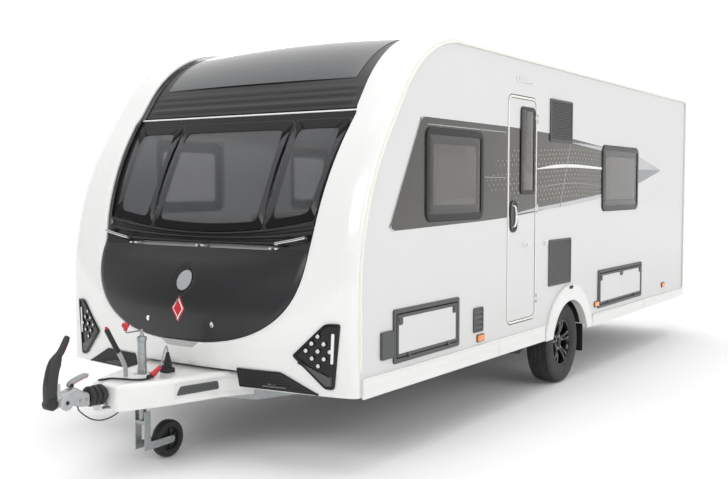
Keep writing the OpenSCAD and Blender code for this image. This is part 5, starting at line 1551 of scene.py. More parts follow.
class CARAVAN_OT_side_film(bpy.types.Operator):
    """Dark band along the side with silver sweeps, fine lines and rows of dots"""

    bl_idname = "caravan.side_film"
    bl_label = "Side film"

    def execute(self, context):
        f, z = finishes(), context.scene.caravan_side
        top, foot = ramp(BAND_TOP), ramp(BAND_FOOT)
        door = (z.door_front, z.door_rear)
        low, high = z.window_z + .020, z.window_z + z.window_h - .020
        a = (SIDE_WINDOWS[1][0][0] + .020, sum(SIDE_WINDOWS[1][0]) - .020)
        b = (SIDE_WINDOWS[1][1][0] + .020, sum(SIDE_WINDOWS[1][1]) - .020)
        wall, leaf = [], []
        for y0, y1, bottom, upper in ((-2.602, a[0], foot, top), (a[0], a[1], foot, low),
                                      (a[0], a[1], high, top), (a[1], door[0] - .008, foot, top),
                                      (door[1] + .008, b[0], foot, top)):
            wall.append(film(y0, y1, bottom, upper))
        pane = (-.901, -.698, 1.504, 2.077)
        for y0, y1, bottom, upper in ((door[0] + .003, pane[0], foot, top),
                                      (pane[0], pane[1], foot, pane[2]),
                                      (pane[1], door[1] - .003, foot, top)):
            leaf.append(film(y0, y1, bottom, upper))
        split = lambda y: foot(y) + .52 * (top(y) - foot(y))
        wall.append(film(b[0], b[1], foot, low))
        bright = [film(b[0], b[1], high, lambda y: np.maximum(top(y), high + .0006)),
                  film(b[1], 2.331, split, top)]
        piece("film_band", merge(wall), "grey_plastic", f.film)
        piece("film_cone", merge(bright), "grab_rail", f.silver)
        piece("film_cone_shade", film(b[1], 2.331, foot, split), "grey_plastic", f.pale_grey)
        piece("film_band_door", merge(leaf), "grey_plastic", f.film, "entrance_door")
        c = (SIDE_WINDOWS[-1][1][0] + .020, sum(SIDE_WINDOWS[-1][1]) - .020)
        over = lambda y: np.maximum(top(y), high + .0006)
        far = wall[:3] + wall[-1:] + [film(a[1], c[0], foot, top), film(*c, foot, low),
                                      film(*c, high, over), film(c[1], b[0], foot, top)]
        piece("film_band_far", sided(merge(far), -1), "grey_plastic", f.film)
        piece("film_cone_far", sided(merge(bright), -1), "grab_rail", f.silver)
        piece("film_cone_shade_far", sided(film(b[1], 2.331, foot, split), -1), "grey_plastic",
              f.pale_grey)
        sweeps = ((stripe([[-.640, 1.665], [-.30, 1.690], [.10, 1.700], [.725, 1.690]],
                          [.006, .026, .026, .018]), f.plate, "middle"),
                  (stripe([[-1.080, 1.342], [-.70, 1.372], [-.20, 1.398], [.30, 1.430],
                           [.725, 1.463]], [.004, .020, .030, .034, .030]), f.silver, "lower"),
                  (stripe([[.030, 1.880], [.25, 1.872], [.50, 1.862], [.725, 1.852]],
                          [.003, .016, .026, .030]), f.silver, "upper"),
                  (stripe([[-2.200, 1.903], [-1.80, 1.904], [-1.140, 1.905]], [.004, .005, .004]),
                   f.silver, "fine"), (stripe([[-1.465, 1.600], [-1.140, 1.600]], [.003, .003]),
                                       f.silver, "low_fine"),
                  (stripe([[-.640, 1.520], [-.20, 1.560], [.30, 1.560], [.725, 1.540]],
                          [.002, .004, .004, .003]), f.pale_grey, "trace"))
        for (y0, y1, bottom, upper, x), finish, name in sweeps:
            parts, on_door = [], []
            for s0, s1, target in ((-3, a[0], parts), (a[1], door[0] - .008, parts),
                                   (a[0], a[1], parts if name == "fine" else None),
                                   (door[0] + .003, door[1] - .003, on_door),
                                   (door[1] + .008, b[0], parts)):
                start, end = max(y0, s0), min(y1, s1)
                if target is not None and end > start + .004:
                    target.append(film(start, end, bottom, upper, x, .0007))
            if name == "middle":
                on_door = []
            if parts:
                piece("film_" + name, merge(parts), "grab_rail", finish)
            if on_door:
                piece("film_" + name + "_door", merge(on_door), "grab_rail",
                      finish, "entrance_door")
        tall = film(0, .0065, 1.38, 1.87, .0018, .0007, 3)
        points, faces = tall
        lean = np.clip((points[:, 2] - 1.38) / .49, 0, 1)
        points = points + np.stack([0 * lean, -.20 * (1 - lean), 0 * lean], -1)
        piece("film_slant", (points, faces), "grab_rail", f.silver)
        edge = [film(y - .003, y + .003, 1.893, 1.915, .0018, .0007, 2) for y in (-2.05, -1.50)]
        piece("film_ticks", merge(edge), "grab_rail", f.silver)
        # pale edge down the slanted front end of the band
        line = np.concatenate([BAND_TOP[:6][::-1], BAND_FOOT[:3]])
        path = spline(line, 3)
        along = unit(np.gradient(path, axis=0))
        across = np.stack([-along[:, 1], along[:, 0]], -1)
        ribbon = np.stack([path - across * .004, path + across * .004], 1)
        stand = [np.stack([np.full(ribbon.shape[:2], WALL_X + out), ribbon[..., 0] + AXLE_Y,
                           ribbon[..., 1]], -1) for out in (.0019, .0011)]
        piece("film_front_edge", shell(*stand), "grab_rail", f.silver)
        self.dots(f, door)
        return {"FINISHED"}

    @staticmethod
    def dots(f, door):
        """Rows of small round dots: six-sided discs at every crossing of a slanted lattice."""
        i, j = (k.ravel() for k in np.meshgrid(np.arange(34), np.arange(11)))
        y = -1.46 + .064 * i + .032 * (j % 2)
        line = np.interp(y, [-1.44, -.64, .10, .72], [1.640, 1.668, 1.700, 1.690])
        height = line + np.where(j > 6, .034 + .032 * (j - 7), -.030 - .033 * (6 - j))
        first = np.array([-.98, -1.02, -1.10, -1.40, -1.46, -1.44, -1.38, -1.36, -1.28, -1.16,
                          -1.04])[j]
        clear = ((np.abs(y - door[0]) > .018) & (np.abs(y - door[1]) > .018)
                 & (y < .69) & (y > first))
        clear &= ~((y > -.935) & (y < -.664))
        clear &= height > np.interp(y, BAND_FOOT[:, 0], BAND_FOOT[:, 1]) + .03
        size_ = .0062 * np.clip(1 - np.abs(y + .3) / 3.0, .55, 1)
        ring = circle(1, 9)
        for name, body, keep in (
                ("film_dots", ROOM, clear & ((y < door[0]) | (y > door[1]))),
                ("film_dots_door", "entrance_door", clear & (y > door[0]) & (y < door[1]))):
            discs = []
            for cy, cz, r in zip(y[keep], height[keep], size_[keep]):
                outline = ring * r + [cy, cz]
                discs.append(loft([on_wall(outline, WALL_X + .0008),
                                   on_wall(outline, WALL_X + .0016)]))
            piece(name, merge(discs), "upholstery", f.dot, body)


class CARAVAN_OT_entrance_door(bpy.types.Operator):
    """Door rim, seal, window, handle and the knobs that hold it open"""

    bl_idname = "caravan.entrance_door"
    bl_label = "Entrance door"

    def execute(self, context):
        f, z = finishes(), context.scene.caravan_side
        body = "entrance_door"
        edge = rounded([z.door_front, z.door_low], [z.door_rear, z.door_top], .060, 10)
        seal = wall_ring(inset(edge, -.0058), inset(edge, -.0028), WALL_X - .024, WALL_X - .002,
                         .001)
        piece("door_seal", seal, "black_trim", f.black_matt)
        rim = wall_ring(inset(edge, .0008), inset(edge, .016), WALL_X - .012, WALL_X + .0040, .002)
        piece("door_rim", rim, "awning_rail", f.rail, body)
        groove = wall_ring(inset(edge, .0162), inset(edge, .0200), WALL_X - .004, WALL_X + .0016,
                           .0006)
        piece("door_rim_line", groove, "black_trim", f.black_matt, body)
        low, high = np.array([-.921, 1.484]), np.array([-.678, 2.097])
        outer = rounded(low, high, .036, 9)
        border = wall_ring(outer, inset(outer, .030), WALL_X - .006, WALL_X + .0090, .003)
        frame_piece = piece("door_window_border", border, "black_trim", f.black, body)
        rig.replaces(frame_piece, "door_window")
        inner = inset(outer, .027)
        pane = loft([on_wall(inner, WALL_X - .006), on_wall(inner, WALL_X + .0045),
                     on_wall(inset(inner, .006), WALL_X + .0060)])
        piece("door_window_pane", pane, "tinted_glass", f.glass, body)
        oval = rounded([-1.085, 1.224], [-.967, 1.445], .050, 10)
        dish = loft([on_wall(oval, WALL_X - .001), on_wall(oval, WALL_X + .005),
                     on_wall(inset(oval, .005), WALL_X + .009),
                     on_wall(inset(oval, .014), WALL_X + .009),
                     on_wall(inset(oval, .024), WALL_X + .004)])
        handle = piece("door_handle_plate", dish, "black_trim", f.black, body)
        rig.replaces(handle, "door_handle")
        grip = np.array([[WALL_X + .006, -1.044, 1.412], [WALL_X + .024, -1.042, 1.400],
                         [WALL_X + .031, -1.040, 1.360], [WALL_X + .031, -1.040, 1.310],
                         [WALL_X + .024, -1.042, 1.272], [WALL_X + .006, -1.044, 1.260]])
        section = softened([[-.012, -.0035], [.012, -.0035], [.012, .0035], [-.012, .0035]], .003)
        piece("door_handle_grip", sweep(spline(at_axle(grip), 6), section, up=(1, 0, .01)),
              "grab_rail", f.chrome, body, crease=50)
        piece("door_lock", turned_form([[-.001, 0], [-.001, .011], [.009, .011], [.011, .008],
                                        [.011, 0]], at_axle([WALL_X, -.998, 1.282]), 0, 24),
              "grab_rail", f.chrome, body)
        knob = [[-.001, 0], [-.001, .017], [.004, .017], [.006, .013], [.020, .011], [.026, .015],
                [.033, .015], [.036, .011], [.036, 0]]
        piece("door_stay_knob", turned_form(knob, at_axle([WALL_X, -.828, 1.127]), 0, 28),
              "white_moulding", f.moulding, body)
        cup = [[-.001, 0], [-.001, .021], [.006, .021], [.014, .018], [.014, .010], [.006, .010],
               [.006, 0]]
        piece("door_stay_cup", turned_form(cup, at_axle([WALL_X, -.467, 1.129]), 0, 28),
              "white_moulding", f.moulding)
        return {"FINISHED"}


# ---- Roof and rear ----


class CARAVAN_OT_roof_lights(bpy.types.Operator):
    """Two roof lights with their frames and domes"""

    bl_idname = "caravan.roof_lights"
    bl_label = "Rooflights"

    def execute(self, context):
        f = finishes()
        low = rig.box("roof_lights")[0][2]
        domes, bases, blocks = [], [], []
        for y0, y1, x, height, slope in ((-1.480, -.640, .330, .078, .180),
                                         (.900, 1.360, .230, .066, .060)):
            outline = rounded([-x, y0 + AXLE_Y], [x, y1 + AXLE_Y], .045, 8)
            bases.append(loft([np.column_stack([o, np.full(len(o), low + up)]) for o, up in
                               ((outline, 0), (outline, .010), (inset(outline, .003), .013))]))
            rings = []
            for share, up in ((0, .012), (0, .020), (.12, .045), (.35, .070), (.62, .086),
                              (.80, .093)):
                ring = inset(outline, .006 + .050 * share)
                tall = min(up, height) * np.clip((ring[:, 1] - y0 - AXLE_Y) / slope, .35, 1)
                rings.append(np.column_stack([ring, low + np.maximum(tall, .011 + share * .002)]))
            domes.append(loft(rings))
            for cx in (-x + .05, x - .05):
                blocks.append(block([cx - .020, y0 + AXLE_Y + .012, low + .010],
                                    [cx + .020, y0 + AXLE_Y + .052, low + .030], .004))
        light = piece("rooflight_domes", merge(domes), "white_moulding", f.moulding,
                      crease=50)
        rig.replaces(light, "roof_lights")
        piece("rooflight_frames", merge(bases), "white_moulding", f.rail)
        piece("rooflight_catches", merge(blocks), "black_trim", f.black_matt)
        return {"FINISHED"}


class CARAVAN_OT_rear(bpy.types.Operator):
    """Rear lamp clusters, upper markers, bumper, number plate place and grab handles"""

    bl_idname = "caravan.rear"
    bl_label = "Rear fittings"

    def execute(self, context):
        f = finishes()
        wall = float(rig.box("rear_wall")[1][1])

        def on_rear(outline, out):
            return np.column_stack([outline[:, 0], np.full(len(outline), wall + out),
                                    outline[:, 1]])

        def slab(low, high, r, out, edge=.004, n=6):
            o = rounded(low, high, r, n)
            return loft([on_rear(o, -.001), on_rear(o, out - edge), on_rear(inset(o, edge), out)])

        def lens(cx, cz, r, out):
            return turned_form([[out - .012, 0], [out - .012, r], [out - .002, r], [out, r * .86],
                                [out + .002, r * .5], [out + .003, 0]], (cx, wall, cz), 1, 36)
        base = piece("rear_lamp_bases", both(slab([.702, .562], [1.038, .698], .030, .030)),
                     "black_trim", f.black)
        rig.replaces(base, "rear_lamps")
        lamps = [lens(cx, .630, .046, .036) for cx in (.765, .975)]
        piece("rear_red_lenses",
              both(merge(lamps + [slab([1.033, 2.335], [1.077, 2.395], .010, .080),
                                  slab([.700, 1.60], [.735, 1.74], .010, .012)])), "red_lens",
              f.red_lens)
        piece("rear_brake_lens", slab([-.178, 2.303], [.178, 2.337], .008, .028), "red_lens",
              f.red_lens)
        piece("rear_amber_lenses", both(lens(.870, .630, .046, .036)), "amber_lens", f.amber)
        plate_ = piece("rear_blank_plate", slab([-.258, .642], [.258, .750], .008, .008, .002),
                       "white_moulding", f.plate)
        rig.replaces(plate_, "rear_fittings")
        rise = np.linspace(0, 1, 14)[:, None]
        profile = np.array([[-.001, .400], [.040, .402], [.056, .420], [.060, .450], [.054, .485],
                            [.034, .506], [.012, .518], [-.001, .520]])
        width = float(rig.box("rear_fittings")[1][0]) - .004
        x = -width + 2 * width * rise
        bumper = np.stack([x + 0 * profile[None, :, 0], wall + profile[None, :, 0] + 0 * x,
                           profile[None, :, 1] + 0 * x], -1)
        piece("rear_bumper", loft(bumper), "white_moulding", f.moulding, crease=40)
        hold = np.array([[.580, wall, 1.030], [.580, wall + .034, 1.032],
                         [.580, wall + .050, 1.050], [.580, wall + .052, 1.100],
                         [.580, wall + .050, 1.150], [.580, wall + .034, 1.168],
                         [.580, wall, 1.170]])
        section = softened([[-.018, -.008], [.018, -.008], [.018, .008], [-.018, .008]], .006)
        piece("rear_grab_handles", both(sweep(spline(hold, 5), section[:, ::-1], up=(1, 0, 0))),
              "white_moulding", f.moulding, crease=50)
        panel = slab([-.62, 1.25], [.62, 2.02], .06, .006, .003, 10)
        piece("rear_panel", panel, "white_moulding", f.moulding)
        return {"FINISHED"}


# ---- Wheels ----


class CARAVAN_OT_wheels(bpy.types.Operator):
    """Black alloy wheels with five pairs of spokes, and treaded tyres"""

    bl_idname = "caravan.wheels"
    bl_label = "Wheels and tyres"

    def execute(self, context):
        f = finishes()
        for side, wheel, tyre in ((1, "left_wheel", "left_tyre"),
                                  (-1, "right_wheel", "right_tyre")):
            low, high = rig.box(tyre)
            centre = (np.array(low) + np.array(high)) / 2
            wide = float(high[0] - low[0])

            def place(surface):
                return moved(sided(surface, side), [centre[0], centre[1], centre[2]])
            skin = piece(wheel + "_rubber", place(self.tyre(TYRE_R - .0015, wide - .003)),
                         "tyre_rubber", f.rubber, wheel, crease=32)
            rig.replaces(skin, tyre)
            barrel = [[-.072, .1700], [-.072, .1765], [-.050, .1745], [.050, .1745], [.070, .1768],
                      [.078, .1764], [.078, .1700], [.066, .1640], [.030, .1570], [-.050, .1560]]
            rim = grid(turned_rings(barrel, 96), wrap_rows=True, wrap_cols=True)
            spokes = [turned(self.spoke(), k * 2 * math.pi / 5 + lean, 0)
                      for k in range(5) for lean in (-.155, .155)]
            hub = turned_form([[.010, 0], [.010, .070], [.046, .066], [.052, .056], [.050, .036],
                               [.046, .034], [.046, .0]], (0, 0, 0), 0, 48)
            alloy = piece(wheel + "_alloy", place(merge([rim, hub] + spokes)), "black_alloy",
                          f.alloy, wheel, crease=40)
            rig.replaces(alloy, wheel)
            # painted highlights: thin grey lines along one edge of each spoke and a grey ring round the rim's lip
            lines = [turned(self.edge_line(), k * 2 * math.pi / 5 + lean, 0)
                     for k in range(5) for lean in (-.155, .155)]
            ring = grid(turned_rings([[.0770, .1725], [.0798, .1735], [.0798, .1752],
                                      [.0770, .1760]], 96), wrap_rows=True, wrap_cols=True)
            piece(wheel + "_machined", place(merge(lines + [ring])), "grab_rail", f.grey, wheel)
            drum = grid(turned_rings([[-.060, .118], [-.058, .126], [-.020, .128], [-.012, .118],
                                      [-.010, .040], [-.060, .040]], 60), wrap_rows=True,
                        wrap_cols=True)
            piece(wheel + "_drum", place(drum), "black_trim", f.black_matt, wheel)
            bolts = [moved(turned_form([[.046, 0], [.046, .0095], [.058, .0085], [.059, .006],
                                        [.059, 0]], (0, 0, 0), 0, 12),
                           [0, .052 * math.cos(t), .052 * math.sin(t)])
                     for t in np.arange(5) * 2 * math.pi / 5 + .3]
            cap = turned_form([[.046, 0], [.046, .031], [.056, .030], [.060, .022], [.061, 0]],
                              (0, 0, 0), 0, 36)
            piece(wheel + "_cap", place(cap), "black_trim", f.black, wheel)
            piece(wheel + "_bolts", place(merge(bolts)), "grab_rail", f.pale_grey, wheel)
            stem = turned_form([[.060, 0], [.060, .0035], [.074, .0030], [.078, .0038],
                                [.084, .0038], [.084, 0]], (0, 0, 0), 0, 12)
            piece(wheel + "_valve", place(moved(stem, [0, .060, .148])), "black_rubber",
                  f.soft_black, wheel)
        return {"FINISHED"}

    @staticmethod
    def spoke():
        """One slim spoke of a pair, bowed outwards, from the hub to the rim."""
        r = np.linspace(.050, .172, 12)
        share = (r - .050) / .122
        wide = .0105 + .004 * (1 - share) ** 2 + .0035 * share ** 4
        out = .044 + .030 * np.sin(share * math.pi * .62)
        deep = .030 - .010 * share
        section = np.array([[-1, -1], [1, -1], [1, .35], [.55, 1], [-.55, 1], [-1, .35]])
        rings = np.stack([out[:, None] + deep[:, None] * (section[None, :, 1] - 1) / 2,
                          wide[:, None] * section[None, :, 0], r[:, None]
                          + 0 * section[None, :, 0]], -1)
        return loft(rings)

    @staticmethod
    def edge_line():
        """Thin bright line along one edge of a spoke: a painted highlight, grey where light would catch the edge."""
        r = np.linspace(.070, .168, 10)
        share = (r - .050) / .122
        wide = .0105 + .004 * (1 - share) ** 2 + .0035 * share ** 4
        out = .0444 + .030 * np.sin(share * math.pi * .62)
        section = np.array([[-.0010, -.0010], [.0010, -.0010], [.0010, .0006], [-.0010, .0006]])
        rings = np.stack([out[:, None] + section[None, :, 1], .80 * wide[:, None]
                          + section[None, :, 0], r[:, None] + 0 * section[None, :, 0]], -1)
        return loft(rings)

    @staticmethod
    def tyre(r, wide):
        """Tyre as a closed loop of rings: a rounded section with three grooves along the tread
        and cross cuts on its shoulders. Groove depth is 6 mm."""
        half = wide / 2
        flat = np.array([[-.062, .172], [-.074, .176], [-.084, .185], [-.092, .205],
                         [half * -.985, .232], [-half, .252], [half * -.99, .270],
                         [half * -.955, .288], [half * -.90, .300], [half * -.82, .308]])
        tread = np.linspace(-.80 * half, .80 * half, 33)
        crown = r - .0052 * (tread / (.8 * half)) ** 2
        deep = np.zeros(33)
        for g in (8, 16, 24):
            deep[g - 1:g + 2] = .006
        profile = np.concatenate([flat, np.column_stack([tread, crown]), (flat * [-1, 1])[::-1],
                                  [[.060, .170], [-.060, .170]]])
        cut = np.concatenate([np.zeros(10), deep, np.zeros(12)])
        shoulder = np.concatenate([np.zeros(8), [.5, 1],
                                   (np.abs(np.arange(33) - 16) > 9).astype(float), [1, .5],
                                   np.zeros(10)])
        sides = 336
        a = np.arange(sides) * 2 * math.pi / sides
        wave = ((np.arange(sides) % 6) < 1).astype(float)
        inner = ((np.arange(sides) % 6) == 3).astype(float)
        off = np.abs(np.arange(33) - 16)
        block_ = np.concatenate([np.zeros(10), ((off > 1) & (off < 7)).astype(float),
                                 np.zeros(12)])
        radius = (profile[None, :, 1] - cut[None] - .0045 * shoulder[None] * wave[:, None]
                  - .0022 * block_[None] * inner[:, None])
        points = np.stack([profile[None, :, 0] + 0 * radius, radius * np.cos(a)[:, None],
                           radius * np.sin(a)[:, None]], -1)
        return grid(points, wrap_rows=True, wrap_cols=True)


def turned_rings(profile, sides):
    """Rings of a profile of (along X, radius) spun round the X axis, for grid()."""
    profile = np.asarray(profile, float)
    a = np.arange(sides) * 2 * math.pi / sides
    return np.stack([profile[:, :1] + 0 * a, profile[:, 1:] * np.cos(a),
                     profile[:, 1:] * np.sin(a)], -1)


class CARAVAN_OT_mudflaps(bpy.types.Operator):
    """Moulded rubber flaps behind the wheels"""

    bl_idname = "caravan.mudflaps"
    bl_label = "Mudflaps"

    def execute(self, context):
        f = finishes()
        low, high = (np.array(c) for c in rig.box("mudflaps"))
        u, v = np.linspace(0, 1, 12)[None], np.linspace(0, 1, 16)[:, None]
        x = high[0] - .210 + .208 * u + 0 * v
        height = low[2] + .002 + (high[2] - low[2] - .004) * v + 0 * u
        y = (low[1] + high[1]) / 2 + .0008 + 0 * x

        def sheet(out):
            return np.stack([x, y + out, height], -1)
        ribs = .0008 * np.sign(np.sin(v * 40)) * (np.abs(u - .5) < .42)
        flap = shell(sheet(.0012 + ribs), sheet(-.0026 + 0 * ribs))
        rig.replaces(piece("mudflap_sheets", both(flap), "black_rubber", f.soft_black),
                    "mudflaps")
        return {"FINISHED"}


# ---- Hitch ----

BALL_Z = .452
HEAD_Y = -3.925
COVER_SIDE = np.array([[-3.655, .105], [-3.430, .205], [-3.090, .308], [-2.914, .404]])


def cover_half(y):
    """Half width of the drawbar cover along its length."""
    return np.interp(y, COVER_SIDE[:, 0], COVER_SIDE[:, 1])


def hollow(y, height):
    """Depth of the pressed hollow in the cover's side: a smooth window in length and height."""
    along = np.clip((y + 3.375) / .05, 0, 1) * np.clip((-2.975 - y) / .05, 0, 1)
    tall = np.clip((height - .372) / .018, 0, 1) * np.clip((.478 - height) / .018, 0, 1)
    return .014 * along ** 2 * (3 - 2 * along) * tall ** 2 * (3 - 2 * tall)


class CARAVAN_OT_drawbar_cover(bpy.types.Operator):
    """White cover over the draw frame, with hollowed sides and dark hand grips"""

    bl_idname = "caravan.drawbar_cover"
    bl_label = "Drawbar cover"

    def execute(self, context):
        f = finishes()
        low, top, r = .359, .4995, .026
        arc = np.linspace(0, math.pi / 2, 8)
        side = np.linspace(0, 1, 16)
        stations = np.concatenate([[-3.655, -3.6545, -3.652, -3.646, -3.636, -3.622],
                                   np.linspace(-3.60, -2.914, 60)])
        shrink = np.array([.030, .022, .013, .007, .003, .001] + [0] * 60)

        def row(y, cut, thick):
            half, up = cover_half(y) - cut - thick, top - cut - thick
            left = np.concatenate([
                np.column_stack([np.full(16, half), low + (up - r - low) * side]),
                np.column_stack([half - r + r * np.cos(arc), up - r + r * np.sin(arc)])[1:]])
            across = np.linspace(half - r, -(half - r), 15)[1:-1]
            flat = np.concatenate([left, np.column_stack([across, np.full(13, up)]),
                                   (left * [-1, 1])[::-1]])
            outer = np.abs(flat[:, 0]) > half * .75
            flat[:, 0] -= np.sign(flat[:, 0]) * hollow(y, flat[:, 1]) * outer
            return np.column_stack([flat[:, 0],
                                    np.full(len(flat), y + AXLE_Y + (thick if cut else 0)),
                                    flat[:, 1]])

        def sheet(thick):
            rows = [row(y, c, thick) for y, c in zip(stations, shrink)]
            face = rows[0]
            hub = np.array([0, face[0, 1], .428])
            return np.array([hub + (face - hub) * g for g in (.34, .6, .85)] + rows)
        cover = piece("drawbar_cover_skin", shell(sheet(0), sheet(.004)), "white_moulding",
                      f.moulding, crease=55)
        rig.replaces(cover, "a_frame_cover")
        grip = softened([[-3.345, .402], [-3.090, .406], [-3.096, .452], [-3.318, .450]], .011)

        def on_side(outline, out):
            y, up = outline[:, 0], outline[:, 1]
            return np.column_stack([cover_half(y) - hollow(y, up) + out, y + AXLE_Y, up])
        insert = loft([on_side(grip, -.002), on_side(grip, .0040),
                       on_side(inset(grip, .003), .0062), on_side(inset(grip, .011), .0062),
                       on_side(inset(grip, .015), .0012)])
        piece("drawbar_cover_grips", both(insert), "grey_plastic", f.grey)
        seam = [[x, y, .5003] for x, y in ((.060, -3.395), (.060, -3.330), (.030, -3.312),
                                           (-.030, -3.312), (-.060, -3.330), (-.060, -3.395))]
        piece("drawbar_cover_seam", tube(spline(at_axle(seam), 5), .0022, 8), "white_moulding",
              f.pale_grey)
        boot = turned_form([[.494, 0], [.494, .041], [.503, .040], [.506, .034], [.506, .0]],
                           at_axle([0, -3.385, 0]), 2, 40)
        piece("jockey_collar", boot, "white_moulding", f.moulding)
        return {"FINISHED"}


class CARAVAN_OT_drawbar(bpy.types.Operator):
    """Bright draw tube, ribbed bellows, overrun housing and its bracket"""

    bl_idname = "caravan.drawbar"
    bl_label = "Draw tube and bellows"

    def execute(self, context):
        f = finishes()
        bar_ = turned_form([[-3.7745, 0], [-3.7745, .0225], [-3.773, .024], [-3.502, .024],
                            [-3.500, .022], [-3.500, 0]], at_axle([0, 0, .428]), 1, 48)
        shaft = piece("draw_tube", bar_, "grab_rail", f.chrome)
        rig.replaces(shaft, "coupling_shaft")
        t = np.linspace(0, 1, 49)
        folds = .041 + .0128 * np.abs(np.sin(math.pi * 3 * t)) ** .55
        bellows = np.concatenate([[[-3.769, .020], [-3.769, .038]],
                                  np.column_stack([-3.767 + .102 * t, folds]),
                                  [[-3.663, .038], [-3.663, .020]]])
        piece("bellows", turned_form(bellows, at_axle([0, 0, .448]), 1, 56), "black_rubber",
              f.soft_black, crease=60)
        housing = merge([block(at_axle([-.092, -3.612, .380]), at_axle([.092, -3.6005, .469]),
                               .003)] + [turned_form([[-3.616, 0], [-3.616, .0075], [-3.611, .008],
                                                      [-3.611, 0]], at_axle([x, 0, z]), 1, 12)
                                         for x in (-.074, .074) for z in (.398, .452)])
        piece("overrun_housing", housing, "galvanised_steel", f.zinc)
        bracket = block(at_axle([-.030, -3.700, .362]), at_axle([.030, -3.612, .372]), .002)
        ear = block(at_axle([-.030, -3.702, .362]), at_axle([.030, -3.695, .398]), .002)
        piece("bellows_bracket", merge([bracket, ear]), "white_moulding", f.moulding)
        return {"FINISHED"}


class CARAVAN_OT_coupling(bpy.types.Operator):
    """Coupling head with its friction pads"""

    bl_idname = "caravan.coupling"
    bl_label = "Coupling head"

    def execute(self, context):
        f = finishes()
        rings = []
        for y, half, low, high in ((-3.775, .030, .410, .470), (-3.778, .034, .406, .476),
                                   (-3.800, .034, .407, .485), (-3.830, .034, .412, .500),
                                   (-3.850, .034, .418, .514), (-3.872, .033, .424, .513),
                                   (-3.900, .036, .432, .503), (-3.925, .040, .438, .497)):
            flat = rounded([-half, low], [half, high], .014, 5)
            rings.append(np.column_stack([flat[:, 0], np.full(len(flat), y), flat[:, 1]]))
        body = loft([at_axle(r) for r in rings])
        cup = turned_form([[-.016, .0262], [-.016, .040], [-.013, .0436], [.020, .0440],
                           [.034, .040], [.044, .030], [.048, .014], [.049, .0], [.028, 0],
                           [.024, .010], [.014, .0205], [.004, .0252]],
                          at_axle([0, HEAD_Y, BALL_Z]), 2, 56)
        head = piece("coupling_head_cast", merge([body, cup]), "cast_grey", f.cast, crease=45)
        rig.replaces(head, "coupling_head")
        pads, discs, hearts = [], [], []
        for sign in (-1, 1):
            def button(profile):
                profile = np.array(profile) * [sign, 1]
                return turned_form(profile, at_axle([0, HEAD_Y, BALL_Z]), 0, 44)
            pads.append(button([[.033, 0], [.033, .036], [.036, .0395], [.044, .0395], [.046, .034],
                                [.046, 0]]))
            discs.append(button([[.045, 0], [.045, .031], [.0480, .029], [.0490, .016],
                                 [.047, .013], [.047, 0]]))
            hearts.append(button([[.046, 0], [.046, .010], [.0495, .009], [.0495, 0]]))
        piece("coupling_pads", merge(pads), "cast_grey", f.lip)
        piece("coupling_pad_discs", merge(discs), "cast_grey", f.cast)
        piece("coupling_pad_hearts", merge(hearts), "black_trim", f.black)
        ball_bolts = [turned_form([[x, 0], [x, .0095], [x + .007 * s_, .0085], [x + .007 * s_, 0]],
                                  at_axle([0, y, z]), 0, 6) for s_, x in ((1, .033), (-1, -.033))
                      for y, z in ((-3.795, .446), (-3.835, .446))]
        piece("coupling_bolts", merge(ball_bolts), "galvanised_steel", f.zinc)
        return {"FINISHED"}


